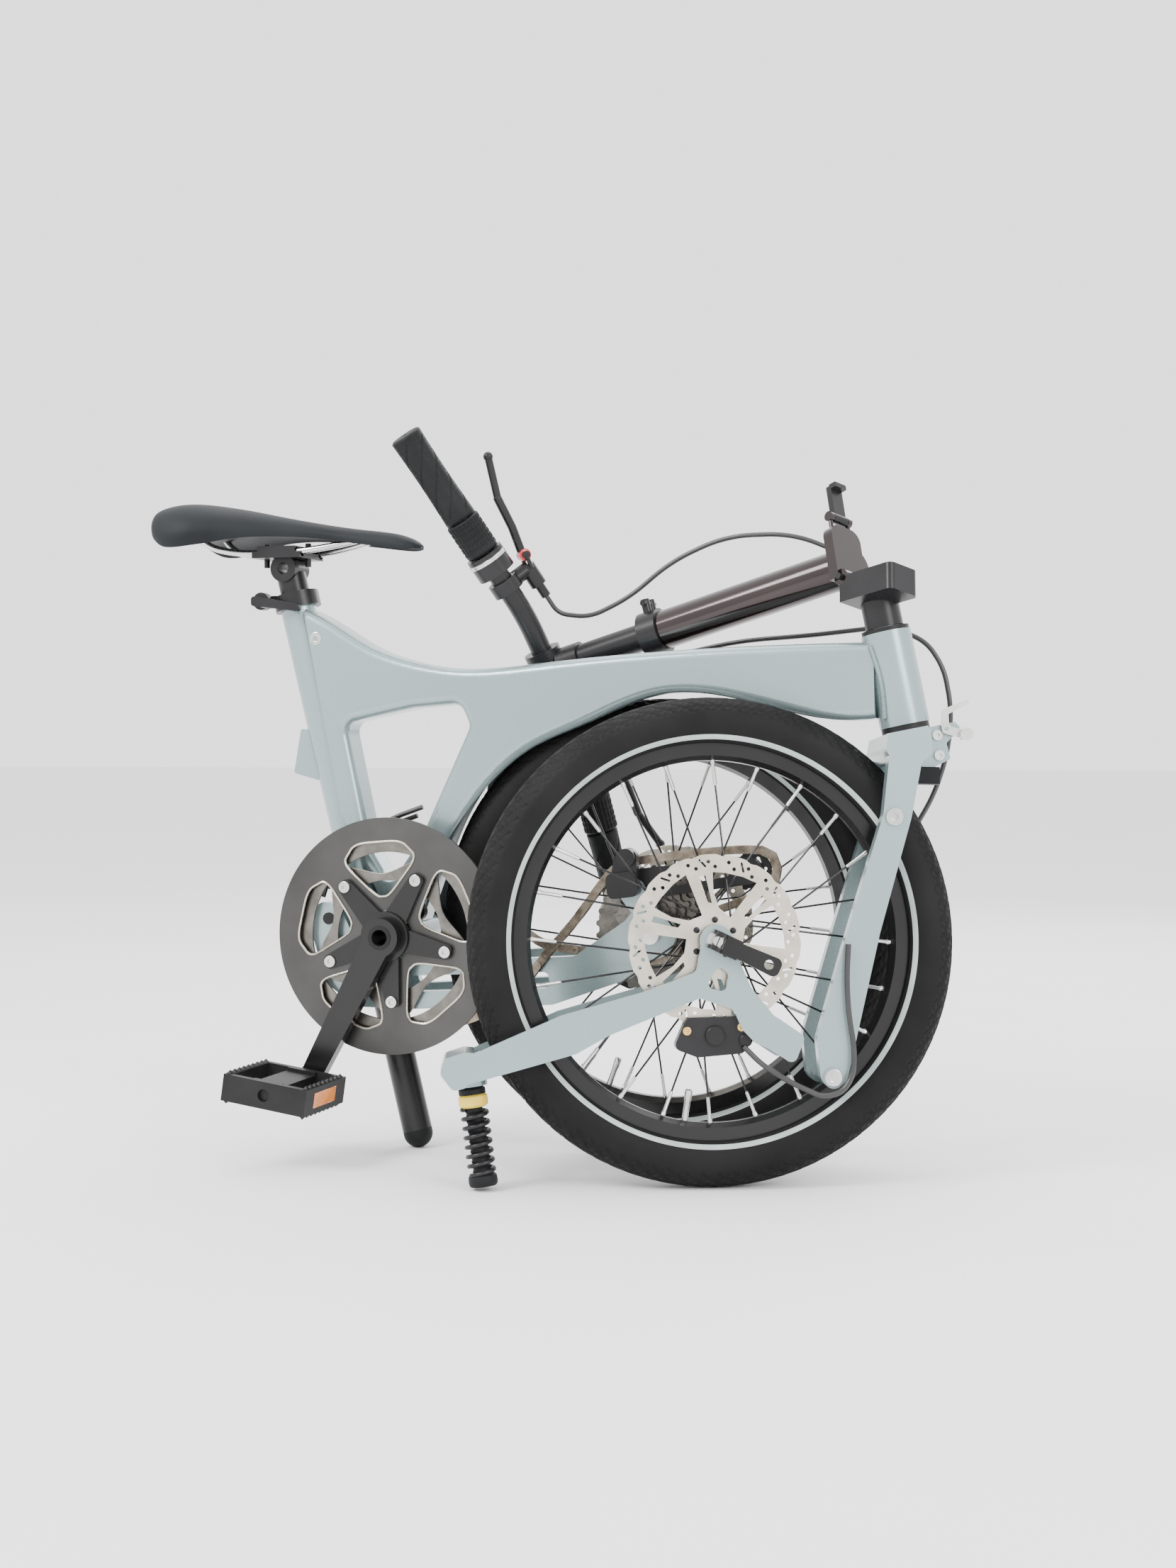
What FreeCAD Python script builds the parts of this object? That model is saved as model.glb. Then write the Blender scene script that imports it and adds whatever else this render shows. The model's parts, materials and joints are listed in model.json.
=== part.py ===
import FreeCAD, Part
import math
import os

# Folding bicycle, folded, standing on both tyres, the front strut and the seat post plug.
# Millimetres. +X is the bicycle's front, +Y its left side, +Z up.
# Everything is first placed with z = 0 on the floor and the frame's middle plane at y = 0.

V = FreeCAD.Vector
X_AXIS = V(1, 0, 0)
Y_AXIS = V(0, 1, 0)
Z_AXIS = V(0, 0, 1)

# ---- driving dimensions ----
RUNNING_GAP = 0.05
TYRE_OUTER = 227.5
TYRE_SECTION = 25.0
RIM_OUTER = 184.0
RIM_INNER = 168.0
RIM_HALF_WIDTH = 12.0
SPOKES = 24
FLANGE_HALF = 1.2
ROTOR_OUTER = 80.0
ROTOR_THICK = 1.8

BRACKET = V(-339, 0, 219)
BRACKET_SHELL_R = 22.0
BRACKET_SHELL_HALF = 34.0
CHAINLINE = 48.0
CHAINRING_ROOT = 98.0
GUARD_OUTER = 118.0
GUARD_FACE = 54.5
CHAIN_R = 2.4
CHAIN_WRAP_R = 100.7
BOLT_CIRCLE = 65.0
SPIDER_FIRST = 60.0
SPINDLE_R = 12.0
PEDAL_AXLE_R = 6.0
CRANK_LENGTH = 163.0
CRANK_ANGLE = 241.9
CRANK_Y = 68.0
PEDAL_START = 84.0
PEDAL_END = 174.0
PEDAL_TILT = 8.0
LEFT_PEDAL_TILT = 66.0

POST_TOP = V(-468, 0, 580)
POST_TIP = V(-325, 0, 0)
POST_R = 15.0
SEAT_TUBE_R = 18.5
RACK_HOLE_R = 2.1

HEAD_LOW = V(166.7, 0, 427.4)
HEAD_HIGH = V(148.3, 0, 514.8)
HEAD_R = 23.5
STEERER_R = 14.3
FORK_TURN = 22.0

FRONT_AXLE = V(-16, 0, 223.6)
FRONT_PIVOT = V(91, 0, 100.6)
FRONT_HUB_HALF = 37.0
FRONT_FLANGE = 20.0
FRONT_ROTOR_Y = -29.0
ARM_PLATE = 7.0
LEG_INNER = 32.0
LEG_OUTER = 46.0
ARM_FOOT_INNER = 24.0
FRONT_PIN_R = 5.0
AXLE_R = 4.5
SPRING_TOP = V(-237, 0, 88)
SPRING_FOOT = V(-225, 0, 2)
SPRING_R = 14.0

REAR_PIVOT = V(-408, 0, 234)
REAR_AXLE = V(-74, 0, 227.5)
REAR_TURN = 5.0
REAR_HUB_HALF = 67.5
REAR_FLANGE = 24.0
REAR_ROTOR_Y = 52.0
BLADE_SPLAY = 5.8
PIVOT_PIN_R = 6.0
CAGE_Y = -58.2
FIRST_SPROCKET = 29.4
SPROCKET_PITCH = 4.8
SPROCKET_TEETH = (32, 28, 24, 21, 18, 15, 13, 11)
CHAIN_PITCH = 12.7
FREEHUB_R = 14.0

STEM_START = V(92, 20, 574)
STEM_DIRECTION = V(-0.9493, 0.1566, -0.2726)
STEM_HINGE = V(116.7, 3.0, 564.3)
STEM_HINGE_AXIS = V(0.5034, 0.8420, -0.1937)
STEM_ROOT = -23.5
HINGE_PIN_R = 3.0
STEM_TUBE_R = 19.5
BAR_POST_R = 14.0
STEM_TUBE_LENGTH = 200.0
BAR_REACH = 319.0
BAR_DIRECTION = V(0.3107, 0.3354, -0.8894)
BAR_SWEEP_TO = V(-0.706, -0.546, -0.4525)
BAR_SWEEP = 10.0
BAR_R = 11.0
BAR_HALF = 280.0
BAR_KNEE = 60.0
GRIP_R = 16.5
GRIP_LENGTH = 100.0
TWIST_LENGTH = 40.0
LEVER_CLAMP = 182.0

CABLE_R = 2.5
RELEASE_REACH = 9.0
RELEASE_PIN_R = 2.5
FRONT_FACE = FRONT_HUB_HALF + ARM_PLATE
FRONT_LEVER_ANGLE = -24.0
REAR_FACE = REAR_HUB_HALF + 10
REAR_LEVER_ANGLE = 200.0
FOLD_STOP = V(-318, 0, 242)
CAGE_PIN_R = 4.0
JOCKEY_PIN_R = 2.5
CHAIN_ON_RING = 285.8
CHAIN_OFF_RING = 44.2
HOOK_PIVOT = V(204, 0, 424)
HOOK_PIN_R = 2.0
STEM_BASE_REACH = 62.0
KNUCKLE_R = 8.0
LATCH_PIN_R = 2.0
LEVER_PIN_R = 2.0


# ---- general shapes ----
def unit(vector):
    result = V(vector)
    result.normalize()
    return result


def rod(start, end, radius):
    return Part.makeCylinder(radius, (end - start).Length, start, end - start)


def sleeve(start, end, outer, inner):
    return rod(start, end, outer).cut(rod(start, end, inner))


def cone(start, end, radius_start, radius_end):
    return Part.makeCone(radius_start, radius_end, (end - start).Length, start, end - start)


def along_y(centre, radius, y_low, y_high):
    start = V(centre.x, y_low, centre.z)
    end = V(centre.x, y_high, centre.z)
    return rod(start, end, radius)


def ring_y(centre, outer, inner, y_low, y_high):
    return along_y(centre, outer, y_low, y_high).cut(along_y(centre, inner, y_low, y_high))


def box(x_low, x_high, y_low, y_high, z_low, z_high):
    return Part.makeBox(x_high - x_low, y_high - y_low, z_high - z_low, V(x_low, y_low, z_low))


def join(shapes):
    return shapes[0].multiFuse(shapes[1:]).removeSplitter() if len(shapes) > 1 else shapes[0]


def group(shapes):
    return Part.makeCompound(shapes)


def turned(shape, centre, axis, degrees):
    copy = shape.copy()
    copy.rotate(centre, axis, degrees)
    return copy


def mirrored_y(shape):
    return shape.mirror(V(0, 0, 0), Y_AXIS)


def rounded_wire(points, radius, plane_y):
    """Closed outline in the XZ plane whose corners are arcs."""
    corners = [V(x, plane_y, z) for x, z in points]
    count = len(corners)
    edges = []
    ends = []
    for index in range(count):
        corner = corners[index]
        to_last = corners[index - 1] - corner
        to_next = corners[(index + 1) % count] - corner
        half = to_last.getAngle(to_next) / 2
        reach = min(radius / math.tan(half), 0.45 * to_last.Length, 0.45 * to_next.Length)
        real_radius = reach * math.tan(half)
        inward = unit(unit(to_last) + unit(to_next))
        first = corner + unit(to_last) * reach
        last = corner + unit(to_next) * reach
        middle = corner + inward * (real_radius / math.sin(half) - real_radius)
        ends.append((first, middle, last))
    for index in range(count):
        first, middle, last = ends[index]
        edges.append(Part.Arc(first, middle, last).toShape())
        edges.append(Part.LineSegment(last, ends[(index + 1) % count][0]).toShape())
    return Part.Wire(edges)


def plate(points, radius, y_low, y_high):
    face = Part.Face(rounded_wire(points, radius, y_low))
    return face.extrude(V(0, y_high - y_low, 0))


def curve_through(points):
    curve = Part.BSplineCurve()
    curve.interpolate([V(x, 0, z) for x, z in points])
    return curve.toShape()


def held_cable(points, radius, most_reach=1000.0):
    """Round cable on straight runs joined by tangent arcs; prints its smallest bend."""
    nodes = [V(*point) for point in points]
    edges = []
    start = nodes[0]
    radii = []
    for index in range(1, len(nodes) - 1):
        corner = nodes[index]
        to_last = nodes[index - 1] - corner
        to_next = nodes[index + 1] - corner
        half_turn = (math.pi - to_last.getAngle(to_next)) / 2
        reach = min(most_reach, 0.45 * to_last.Length, 0.45 * to_next.Length)
        bend = reach / math.tan(half_turn)
        radii.append(bend)
        first = corner + unit(to_last) * reach
        last = corner + unit(to_next) * reach
        inward = unit(unit(to_last) + unit(to_next))
        middle = corner + inward * (bend / math.cos(half_turn) - bend)
        edges.append(Part.LineSegment(start, first).toShape())
        edges.append(Part.Arc(first, middle, last).toShape())
        start = last
    edges.append(Part.LineSegment(start, nodes[-1]).toShape())
    path = Part.Wire(edges)
    circle = Part.Wire(Part.Circle(nodes[0], nodes[1] - nodes[0], radius).toShape())
    tube = path.makePipeShell([circle], True, False)
    expected = math.pi * radius ** 2 * path.Length
    print("cable length %.0f, smallest bend %.0f, volume ratio %.4f"
          % (path.Length, min(radii), tube.Volume / expected))
    return tube


# ---- placing the three groups ----
def with_fork(shape):
    """From straight ahead to the folded bicycle's turned fork."""
    return turned(shape, HEAD_LOW, HEAD_HIGH - HEAD_LOW, FORK_TURN)


def with_rear(shape):
    """From the middle plane to the rear arm's folded plane."""
    return turned(shape, REAR_PIVOT, Z_AXIS, REAR_TURN)


# ---- wheels ----
def tyre(axle):
    torus = Part.makeTorus(TYRE_OUTER - TYRE_SECTION, TYRE_SECTION, axle, Y_AXIS)
    bed = along_y(axle, RIM_OUTER, -TYRE_SECTION - 1, TYRE_SECTION + 1)
    return torus.cut(bed)


def rim(axle):
    lip = 4.0
    section = [
        V(RIM_OUTER, RIM_HALF_WIDTH, 0),
        V(RIM_OUTER, -RIM_HALF_WIDTH, 0),
        V(RIM_INNER + lip, -RIM_HALF_WIDTH, 0),
        V(RIM_INNER, -lip, 0),
        V(RIM_INNER, lip, 0),
        V(RIM_INNER + lip, RIM_HALF_WIDTH, 0),
    ]
    face = Part.Face(Part.makePolygon(section + section[:1]))
    solid = face.revolve(V(0, 0, 0), Y_AXIS, 360)
    solid.translate(axle)
    return solid


def polar(axle, radius, degrees, y):
    angle = math.radians(degrees)
    return V(axle.x + radius * math.cos(angle), axle.y + y, axle.z + radius * math.sin(angle))


def spokes(axle, flange_right, flange_left, flange_radius):
    spoke_radius = 1.0
    head_radius = 1.4
    nipple_radius = 2.0
    nipple_length = 12.0
    rim_gap = 0.5
    head_reach = 3.6
    head_over = 0.6
    lead = 48.0
    step = 360.0 / SPOKES
    pieces = []
    for index in range(SPOKES):
        side = flange_left if index % 2 else flange_right
        sense = 1 if index % 4 < 2 else -1
        turn = index * step + sense * lead
        hole = polar(axle, flange_radius, turn, side + sense * head_reach)
        flange = polar(axle, flange_radius, turn, side + sense * FLANGE_HALF)
        over = polar(axle, flange_radius, turn, side + sense * (head_reach + head_over))
        seat = polar(axle, RIM_INNER - rim_gap, index * step, 3.0 if index % 2 else -3.0)
        direction = unit(seat - hole)
        neck = seat - direction * nipple_length
        spoke = rod(hole, neck, spoke_radius).fuse(rod(neck, seat, nipple_radius))
        pieces.append(spoke.fuse(rod(flange, over, head_radius)))
    return group(pieces)


def hub(axle, half, flange_right, flange_left, flange_radius, bore):
    shell_radius = 13.0
    end_gap = 1.0
    pieces = [
        along_y(axle, shell_radius, flange_right, flange_left),
        along_y(axle, shell_radius - 3, -half + end_gap, half - end_gap),
    ]
    for y in (flange_right, flange_left):
        pieces.append(along_y(axle, flange_radius + 4, y - FLANGE_HALF, y + FLANGE_HALF))
    core = along_y(axle, bore, -half, half)
    return join(pieces).cut(core)


def rotor(axle, y):
    arms = 6
    band = ring_y(axle, ROTOR_OUTER, ROTOR_OUTER - 15, y, y + ROTOR_THICK)
    centre = ring_y(axle, 25, 14, y, y + ROTOR_THICK)
    pieces = [band, centre]
    for index in range(arms):
        bar = box(18, ROTOR_OUTER - 10, y, y + ROTOR_THICK, -4, 4)
        bar = turned(bar, V(0, 0, 0), Y_AXIS, -index * 360.0 / arms)
        bar.translate(axle)
        pieces.append(bar)
    return join(pieces)


def edges_on_sides(solid, half, keep):
    """Edges of the two flat side faces that the test function keeps."""
    found = []
    for edge in solid.Edges:
        limits = edge.BoundBox
        if limits.YLength < 0.1 and abs(abs(limits.Center.y) - half) < 0.1 and keep(edge):
            found.append(edge)
    return found


def beam():
    """Welded hollow main beam with its forward strut, open between strut and seat tube."""
    half = 21.0
    edge_round = 9.0
    top = [(-446, 548), (-415, 533), (-376, 510), (-327, 493), (-269, 485), (-200, 489),
           (-110, 497), (0, 503), (140, 506)]
    arch = [(142, 434), (90, 434), (20, 450), (-70, 458), (-150, 428), (-199, 407),
            (-239, 376), (-268, 341), (-287, 310), (-305, 268), (-318, 232)]
    nose = Part.makePolygon([V(140, 0, 506), V(142, 0, 434)]).Edges
    back = Part.makePolygon([V(-318, 0, 232), V(-352, 0, 236), V(-404, 0, 340),
                             V(-446, 0, 548)]).Edges
    edges = [curve_through(top), curve_through(arch)] + nose + back
    solid = Part.Face(Part.Wire(Part.__sortEdges__(edges))).extrude(V(0, 2 * half, 0))
    solid.translate(V(0, -half, 0))
    curved = edges_on_sides(solid, half, lambda edge: edge.Length > 400)
    solid = solid.makeFillet(edge_round, curved)
    window = plate([(-401, 431), (-326, 446), (-276, 450), (-266, 428), (-318, 318),
                    (-352, 268), (-372, 300)], 12, -half - 1, half + 1)
    solid = solid.cut(window)
    inside = window.BoundBox
    inside.enlarge(1)
    loop = edges_on_sides(solid, half, lambda edge: inside.isInside(edge.BoundBox))
    return solid.makeFillet(edge_round, loop)


def seat_line(height):
    """Point of the seat post's axis at a height."""
    share = (height - POST_TIP.z) / (POST_TOP.z - POST_TIP.z)
    return POST_TIP + (POST_TOP - POST_TIP) * share


def steering(along):
    """Point of the steering axis, measured up from the head tube's lower end."""
    return HEAD_LOW + unit(HEAD_HIGH - HEAD_LOW) * along


def frame():
    head_tube = rod(HEAD_LOW, HEAD_HIGH, HEAD_R)
    seat_tube = rod(seat_line(204), seat_line(560), SEAT_TUBE_R)
    shell = along_y(BRACKET, BRACKET_SHELL_R, -BRACKET_SHELL_HALF, BRACKET_SHELL_HALF)
    lug = along_y(REAR_PIVOT, 14, -24, 24)
    boss = plate([(-462, 380), (-454, 426), (-426, 418), (-432, 372)], 3, -9, 9)
    solid = join([beam(), head_tube, seat_tube, shell, lug, boss])
    wheel_room = along_y(REAR_AXLE, TYRE_OUTER + 5, -TYRE_SECTION - 4, 90)
    bores = [
        rod(seat_line(150), seat_line(600), POST_R + RUNNING_GAP),
        rod(steering(-5), steering(100), STEERER_R + RUNNING_GAP),
        along_y(BRACKET, SPINDLE_R + RUNNING_GAP, -60, 60),
        along_y(REAR_PIVOT, PIVOT_PIN_R, -60, 60),
        rod(V(-470, 0, 397), V(-436, 0, 405), RACK_HOLE_R),
        along_y(FOLD_STOP, 3, -60, -8),
        with_rear(wheel_room),
    ]
    return solid.cut(join(bores))


def bearing_cups():
    up = unit(HEAD_HIGH - HEAD_LOW)
    bore = STEERER_R + RUNNING_GAP
    cups = [
        sleeve(steering(-6), HEAD_LOW, HEAD_R - 1, bore),
        sleeve(HEAD_HIGH, HEAD_HIGH + up * 4, HEAD_R - 1, bore),
    ]
    for side in (-1, 1):
        y_low, y_high = sorted((side * BRACKET_SHELL_HALF, side * (BRACKET_SHELL_HALF + 5)))
        cups.append(ring_y(BRACKET, 20, SPINDLE_R + RUNNING_GAP, y_low, y_high))
    return group(cups)


def seat_clamp():
    collar = sleeve(seat_line(549), seat_line(564), SEAT_TUBE_R + 5, SEAT_TUBE_R)
    lid = sleeve(seat_line(560), seat_line(564), SEAT_TUBE_R + 5, POST_R + RUNNING_GAP)
    middle = seat_line(556.5)
    ear = box(middle.x - 40, middle.x - 20, -9, 9, middle.z - 6, middle.z + 6)
    slot = box(middle.x - 42, middle.x - 15, -1.5, 1.5, middle.z - 12, middle.z + 12)
    pin = along_y(V(middle.x - 32, 0, middle.z), 3, -20, 14)
    bore = sleeve(seat_line(500), seat_line(600), 60, SEAT_TUBE_R)
    clamp = collar.fuse(ear).common(bore).fuse(lid).cut(slot)
    return join([clamp, pin])


def seat_clamp_lever():
    middle = seat_line(556.5)
    cam = along_y(V(middle.x - 32, 0, middle.z), 9, -19.5, -9.5)
    blade = plate([(middle.x - 36, middle.z - 5), (middle.x - 36, middle.z + 5),
                   (middle.x + 16, middle.z - 4), (middle.x + 16, middle.z - 12)], 4, -30, -25)
    web = plate([(middle.x - 38, middle.z - 5), (middle.x - 38, middle.z + 5),
                 (middle.x - 24, middle.z + 2), (middle.x - 24, middle.z - 8)], 3, -30, -16)
    hole = along_y(V(middle.x - 32, 0, middle.z), 3.05, -22, -5)
    return join([cam, blade, web]).cut(hole)


def fold_stop():
    """Small bumper wheel bolted to the strut's near side."""
    roller = ring_y(FOLD_STOP, 9, 3, -30, -21.3)
    bolt = along_y(FOLD_STOP, 3, -30, -8).fuse(along_y(FOLD_STOP, 5.5, -33, -30))
    return group([roller, bolt])


def rear_cables():
    offsets = ((0, -26.5, 0), (8, -32.5, 9))
    route = [(-318, 0, 338), (-352, -4, 326), (-386, -10, 304), (-412, -16, 276), (-419, -18, 255)]
    cables = []
    for shift_x, y, shift_z in offsets:
        points = [(x + shift_x, y + dy * 0.3, z + shift_z) for x, dy, z in route]
        cables.append(held_cable(points, CABLE_R))
    return group(cables)


# ---- seat post and saddle ----
def seatpost():
    tube = rod(seat_line(18), seat_line(584), POST_R)
    head = along_y(seat_line(590), 14, -17, 17)
    hole = along_y(seat_line(590), 6, -30, 30)
    return join([tube, head]).cut(hole)


def post_plug():
    end = seat_line(14.7)
    ball = Part.makeSphere(POST_R - 0.1, end)
    floor = box(-400, -250, -40, 40, -20, 0)
    upper = rod(end, seat_line(18), POST_R - 0.1)
    above = rod(seat_line(18), seat_line(60), POST_R + 2)
    return ball.cut(above).fuse(upper).cut(floor)


def saddle_rails():
    rails = []
    for side in (-1, 1):
        route = [(-566, 34 * side, 631), (-548, 28 * side, 612), (-520, 22 * side, 606),
                 (-480, 22 * side, 605), (-440, 22 * side, 607), (-408, 17 * side, 612),
                 (-382, 12 * side, 618)]
        rails.append(held_cable(route, 3.5))
    return group(rails)


def saddle_clamp():
    cradle = box(-500, -446, -28, 28, 600, 606)
    cap = box(-494, -452, -28, 28, 606, 612)
    bolts = [rod(V(x, 0, 592), V(x, 0, 616), 3) for x in (-496.4, -449.6)]
    body = join([cradle, cap] + bolts)
    for side in (-1, 1):
        groove = rod(V(-520, 22 * side, 606.1), V(-430, 22 * side, 606.1), 5.0)
        body = body.cut(groove)
    return body.cut(along_y(seat_line(590), 14, -17, 17))


def saddle():
    side = [(-612, 642), (-600, 656), (-560, 660), (-480, 645), (-400, 631), (-336, 622),
            (-322, 612), (-335, 604), (-380, 612), (-440, 622), (-500, 622), (-545, 612),
            (-580, 606), (-604, 622)]
    profile = plate(side, 14, -90, 90)
    plan = [(-612, 34), (-598, 66), (-560, 72), (-500, 50), (-440, 28), (-370, 21), (-330, 18),
            (-322, 0)]
    mirror = [(x, -y) for x, y in reversed(plan[:-1])]
    outline = [V(x, y, 590) for x, y in plan + mirror]
    edges = Part.makePolygon(outline + outline[:1])
    body = Part.Face(edges).extrude(V(0, 0, 90))
    return profile.common(body).cut(saddle_rails())


# ---- crank set ----
def crank_point(radius, degrees, y):
    return polar(BRACKET, radius, degrees, y)


def crank_arm(y_low, y_high, degrees):
    tip = crank_point(CRANK_LENGTH, degrees, 0)
    along = unit(tip - BRACKET)
    across = V(-along.z, 0, along.x)
    corners = [BRACKET + across * 15, tip + across * 11, tip - across * 11, BRACKET - across * 15]
    bar = plate([(p.x, p.z) for p in corners], 2, y_low, y_high)
    return join([bar, along_y(BRACKET, 19, y_low, y_high), along_y(tip, 14, y_low, y_high)])


def crank_right():
    low = -CRANK_Y - 6.5
    high = -CRANK_Y + 6.5
    arm = crank_arm(low, high, CRANK_ANGLE)
    hub_disc = along_y(BRACKET, 25, high - 1, -GUARD_FACE)
    spider = [arm, hub_disc]
    for index in range(5):
        angle = SPIDER_FIRST + 72 * index
        out = crank_point(BOLT_CIRCLE + 6, angle, 0)
        across = V(-math.sin(math.radians(angle)), 0, math.cos(math.radians(angle)))
        corners = [BRACKET + across * 14, out + across * 7, out - across * 7, BRACKET - across * 14]
        spider.append(plate([(p.x, p.z) for p in corners], 5, -GUARD_FACE - 5, -GUARD_FACE))
    tip = crank_point(CRANK_LENGTH, CRANK_ANGLE, 0)
    return join(spider).cut(join([along_y(BRACKET, SPINDLE_R, -90, 0),
                                  along_y(tip, PEDAL_AXLE_R, -90, 0)]))


def crank_left():
    arm = crank_arm(CRANK_Y - 6.5, CRANK_Y + 6.5, CRANK_ANGLE + 180)
    tip = crank_point(CRANK_LENGTH, CRANK_ANGLE + 180, 0)
    return arm.cut(join([along_y(BRACKET, SPINDLE_R, 0, 90), along_y(tip, PEDAL_AXLE_R, 0, 90)]))


def crank_spindle():
    outer = CRANK_Y + 7
    return ring_y(BRACKET, SPINDLE_R, 8, -outer, outer)


def chainring():
    low = -CHAINLINE - 1.5
    high = -CHAINLINE + 1.5
    ring = ring_y(BRACKET, CHAINRING_ROOT, 80, low, high)
    tabs = []
    for index in range(5):
        angle = SPIDER_FIRST + 72 * index
        bar = box(BOLT_CIRCLE - 7, 84, low, high, -9, 9)
        bar = turned(bar, V(0, 0, 0), Y_AXIS, -angle)
        bar.translate(BRACKET)
        tabs.append(bar)
    holes = [along_y(crank_point(BOLT_CIRCLE, SPIDER_FIRST + 72 * index, 0), 4, -90, 0)
             for index in range(5)]
    return join([ring] + tabs).cut(join(holes))


def chain_guard():
    disc = ring_y(BRACKET, GUARD_OUTER, 26, -GUARD_FACE, -GUARD_FACE + 3)
    cuts = []
    for index in range(5):
        middle = SPIDER_FIRST + 36 + 72 * index
        shape = [(40, -9), (86, -28), (97, -15), (98, 15), (86, 28), (40, 9)]
        points = [crank_point(radius, middle + turn, 0) for radius, turn in shape]
        cuts.append(plate([(p.x, p.z) for p in points], 12, -90, 0))
        cuts.append(along_y(crank_point(BOLT_CIRCLE, SPIDER_FIRST + 72 * index, 0), 4, -90, 0))
    return disc.cut(join(cuts))


def chainring_bolts():
    bolts = []
    for index in range(5):
        centre = crank_point(BOLT_CIRCLE, SPIDER_FIRST + 72 * index, 0)
        shank = along_y(centre, 4, -GUARD_FACE, -CHAINLINE + 1.5)
        head = along_y(centre, 6.5, -CHAINLINE + 1.5, -CHAINLINE + 4)
        bolts.append(shank.fuse(head))
    return group(bolts)


def pedal_axle(side):
    angle = CRANK_ANGLE if side < 0 else CRANK_ANGLE + 180
    tip = crank_point(CRANK_LENGTH, angle, 0)
    ends = sorted((side * (CRANK_Y - 6.5), side * (PEDAL_END - 4)))
    return along_y(tip, PEDAL_AXLE_R, ends[0], ends[1])


def pedal(side):
    angle = CRANK_ANGLE if side < 0 else CRANK_ANGLE + 180
    centre = crank_point(CRANK_LENGTH, angle, 0)
    y_low, y_high = sorted((side * PEDAL_START, side * PEDAL_END))
    half_length = 44
    half_height = 13
    wall = 7
    block = box(centre.x - half_length, centre.x + half_length, y_low, y_high,
                centre.z - half_height, centre.z + half_height)
    openings = []
    for sign in (-1, 1):
        near, far = sorted((centre.x + sign * 15, centre.x + sign * (half_length - wall)))
        openings.append(box(near, far, y_low + wall, y_high - wall, centre.z - 20, centre.z + 20))
    openings.append(along_y(centre, PEDAL_AXLE_R + RUNNING_GAP, -200, 200))
    waist = box(centre.x - 15, centre.x + 15, y_low + 10, y_high - 10, centre.z + 10, centre.z + 20)
    openings.append(waist)
    body = block.cut(join(openings))
    return turned(body, centre, Y_AXIS, PEDAL_TILT if side < 0 else LEFT_PEDAL_TILT)


# ---- rear arm, drive and rear wheel ----
def rear_blade(side):
    """One blade of the rear arm, from the main pivot to the hub."""
    px = REAR_PIVOT.x
    pz = REAR_PIVOT.z
    outline = [(-17, 8), (-8, 17), (12, 14), (30, -22), (52, -43), (150, -38), (262, -30),
               (314, 6), (322, 16), (348, 16), (352, -20), (318, -50), (240, -78), (90, -88),
               (30, -88), (-2, -66), (-17, -20)]
    y_low, y_high = sorted((side * 28, side * 42))
    blade = plate([(px + x, pz + z) for x, z in outline], 10, y_low, y_high)
    lightening = plate([(px + x, pz + z) for x, z in
                        [(70, -56), (235, -46), (238, -62), (70, -72)]], 6, -90, 90)
    blade = turned(blade.cut(lightening), REAR_PIVOT, Z_AXIS, side * BLADE_SPLAY)
    ear = along_y(REAR_AXLE, 24, *sorted((side * REAR_HUB_HALF, side * REAR_FACE)))
    room = along_y(REAR_AXLE, 34, *sorted((side * 20, side * REAR_HUB_HALF)))
    return blade.cut(room).fuse(ear)


def rear_arm():
    cross = V(REAR_PIVOT.x + 90, 0, REAR_PIVOT.z - 45)
    tube = along_y(cross, 9, -44, 44)
    hanger = plate([(REAR_AXLE.x - 12, REAR_AXLE.z + 12), (REAR_AXLE.x - 34, REAR_AXLE.z + 40),
                    (REAR_AXLE.x - 22, REAR_AXLE.z + 56), (REAR_AXLE.x - 10, REAR_AXLE.z + 50),
                    (REAR_AXLE.x + 12, REAR_AXLE.z + 12)], 5, -REAR_FACE, -REAR_HUB_HALF)
    solid = join([rear_blade(-1), rear_blade(1), tube, hanger])
    upper = jockey_centres()[0]
    holes = [along_y(REAR_AXLE, AXLE_R, -99, 99), along_y(upper, CAGE_PIN_R, -99, -60)]
    bore = along_y(REAR_PIVOT, PIVOT_PIN_R + RUNNING_GAP, -99, 99)
    return with_rear(solid.cut(join(holes))).cut(bore)


def rear_pivot_pin():
    """Pin with its head on the +Y side; the other end stays flush, clear of the turning chainring."""
    return along_y(REAR_PIVOT, PIVOT_PIN_R, -43.5, 50).fuse(along_y(REAR_PIVOT, 9, 46, 50))


def skewer(axle, face, angle):
    """Quick-release rod along -Y, its nut at the +Y end and the hole for the lever's pin."""
    pivot = axle - Y_AXIS * (face + RELEASE_REACH)
    shaft = along_y(axle, AXLE_R, pivot.y - 2.5, face)
    nut = along_y(axle, 9, face, face + 7)
    washer = ring_y(axle, 9, AXLE_R, -face - 0.8, -face)
    across = release_axis(angle) * 10
    return join([shaft, nut, washer]).cut(rod(pivot - across, pivot + across, RELEASE_PIN_R + RUNNING_GAP))


def release_axis(angle):
    """Direction of a quick-release lever's pin, square to the lever and to the axle."""
    turn = math.radians(angle)
    return V(-math.sin(turn), 0, math.cos(turn))


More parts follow.
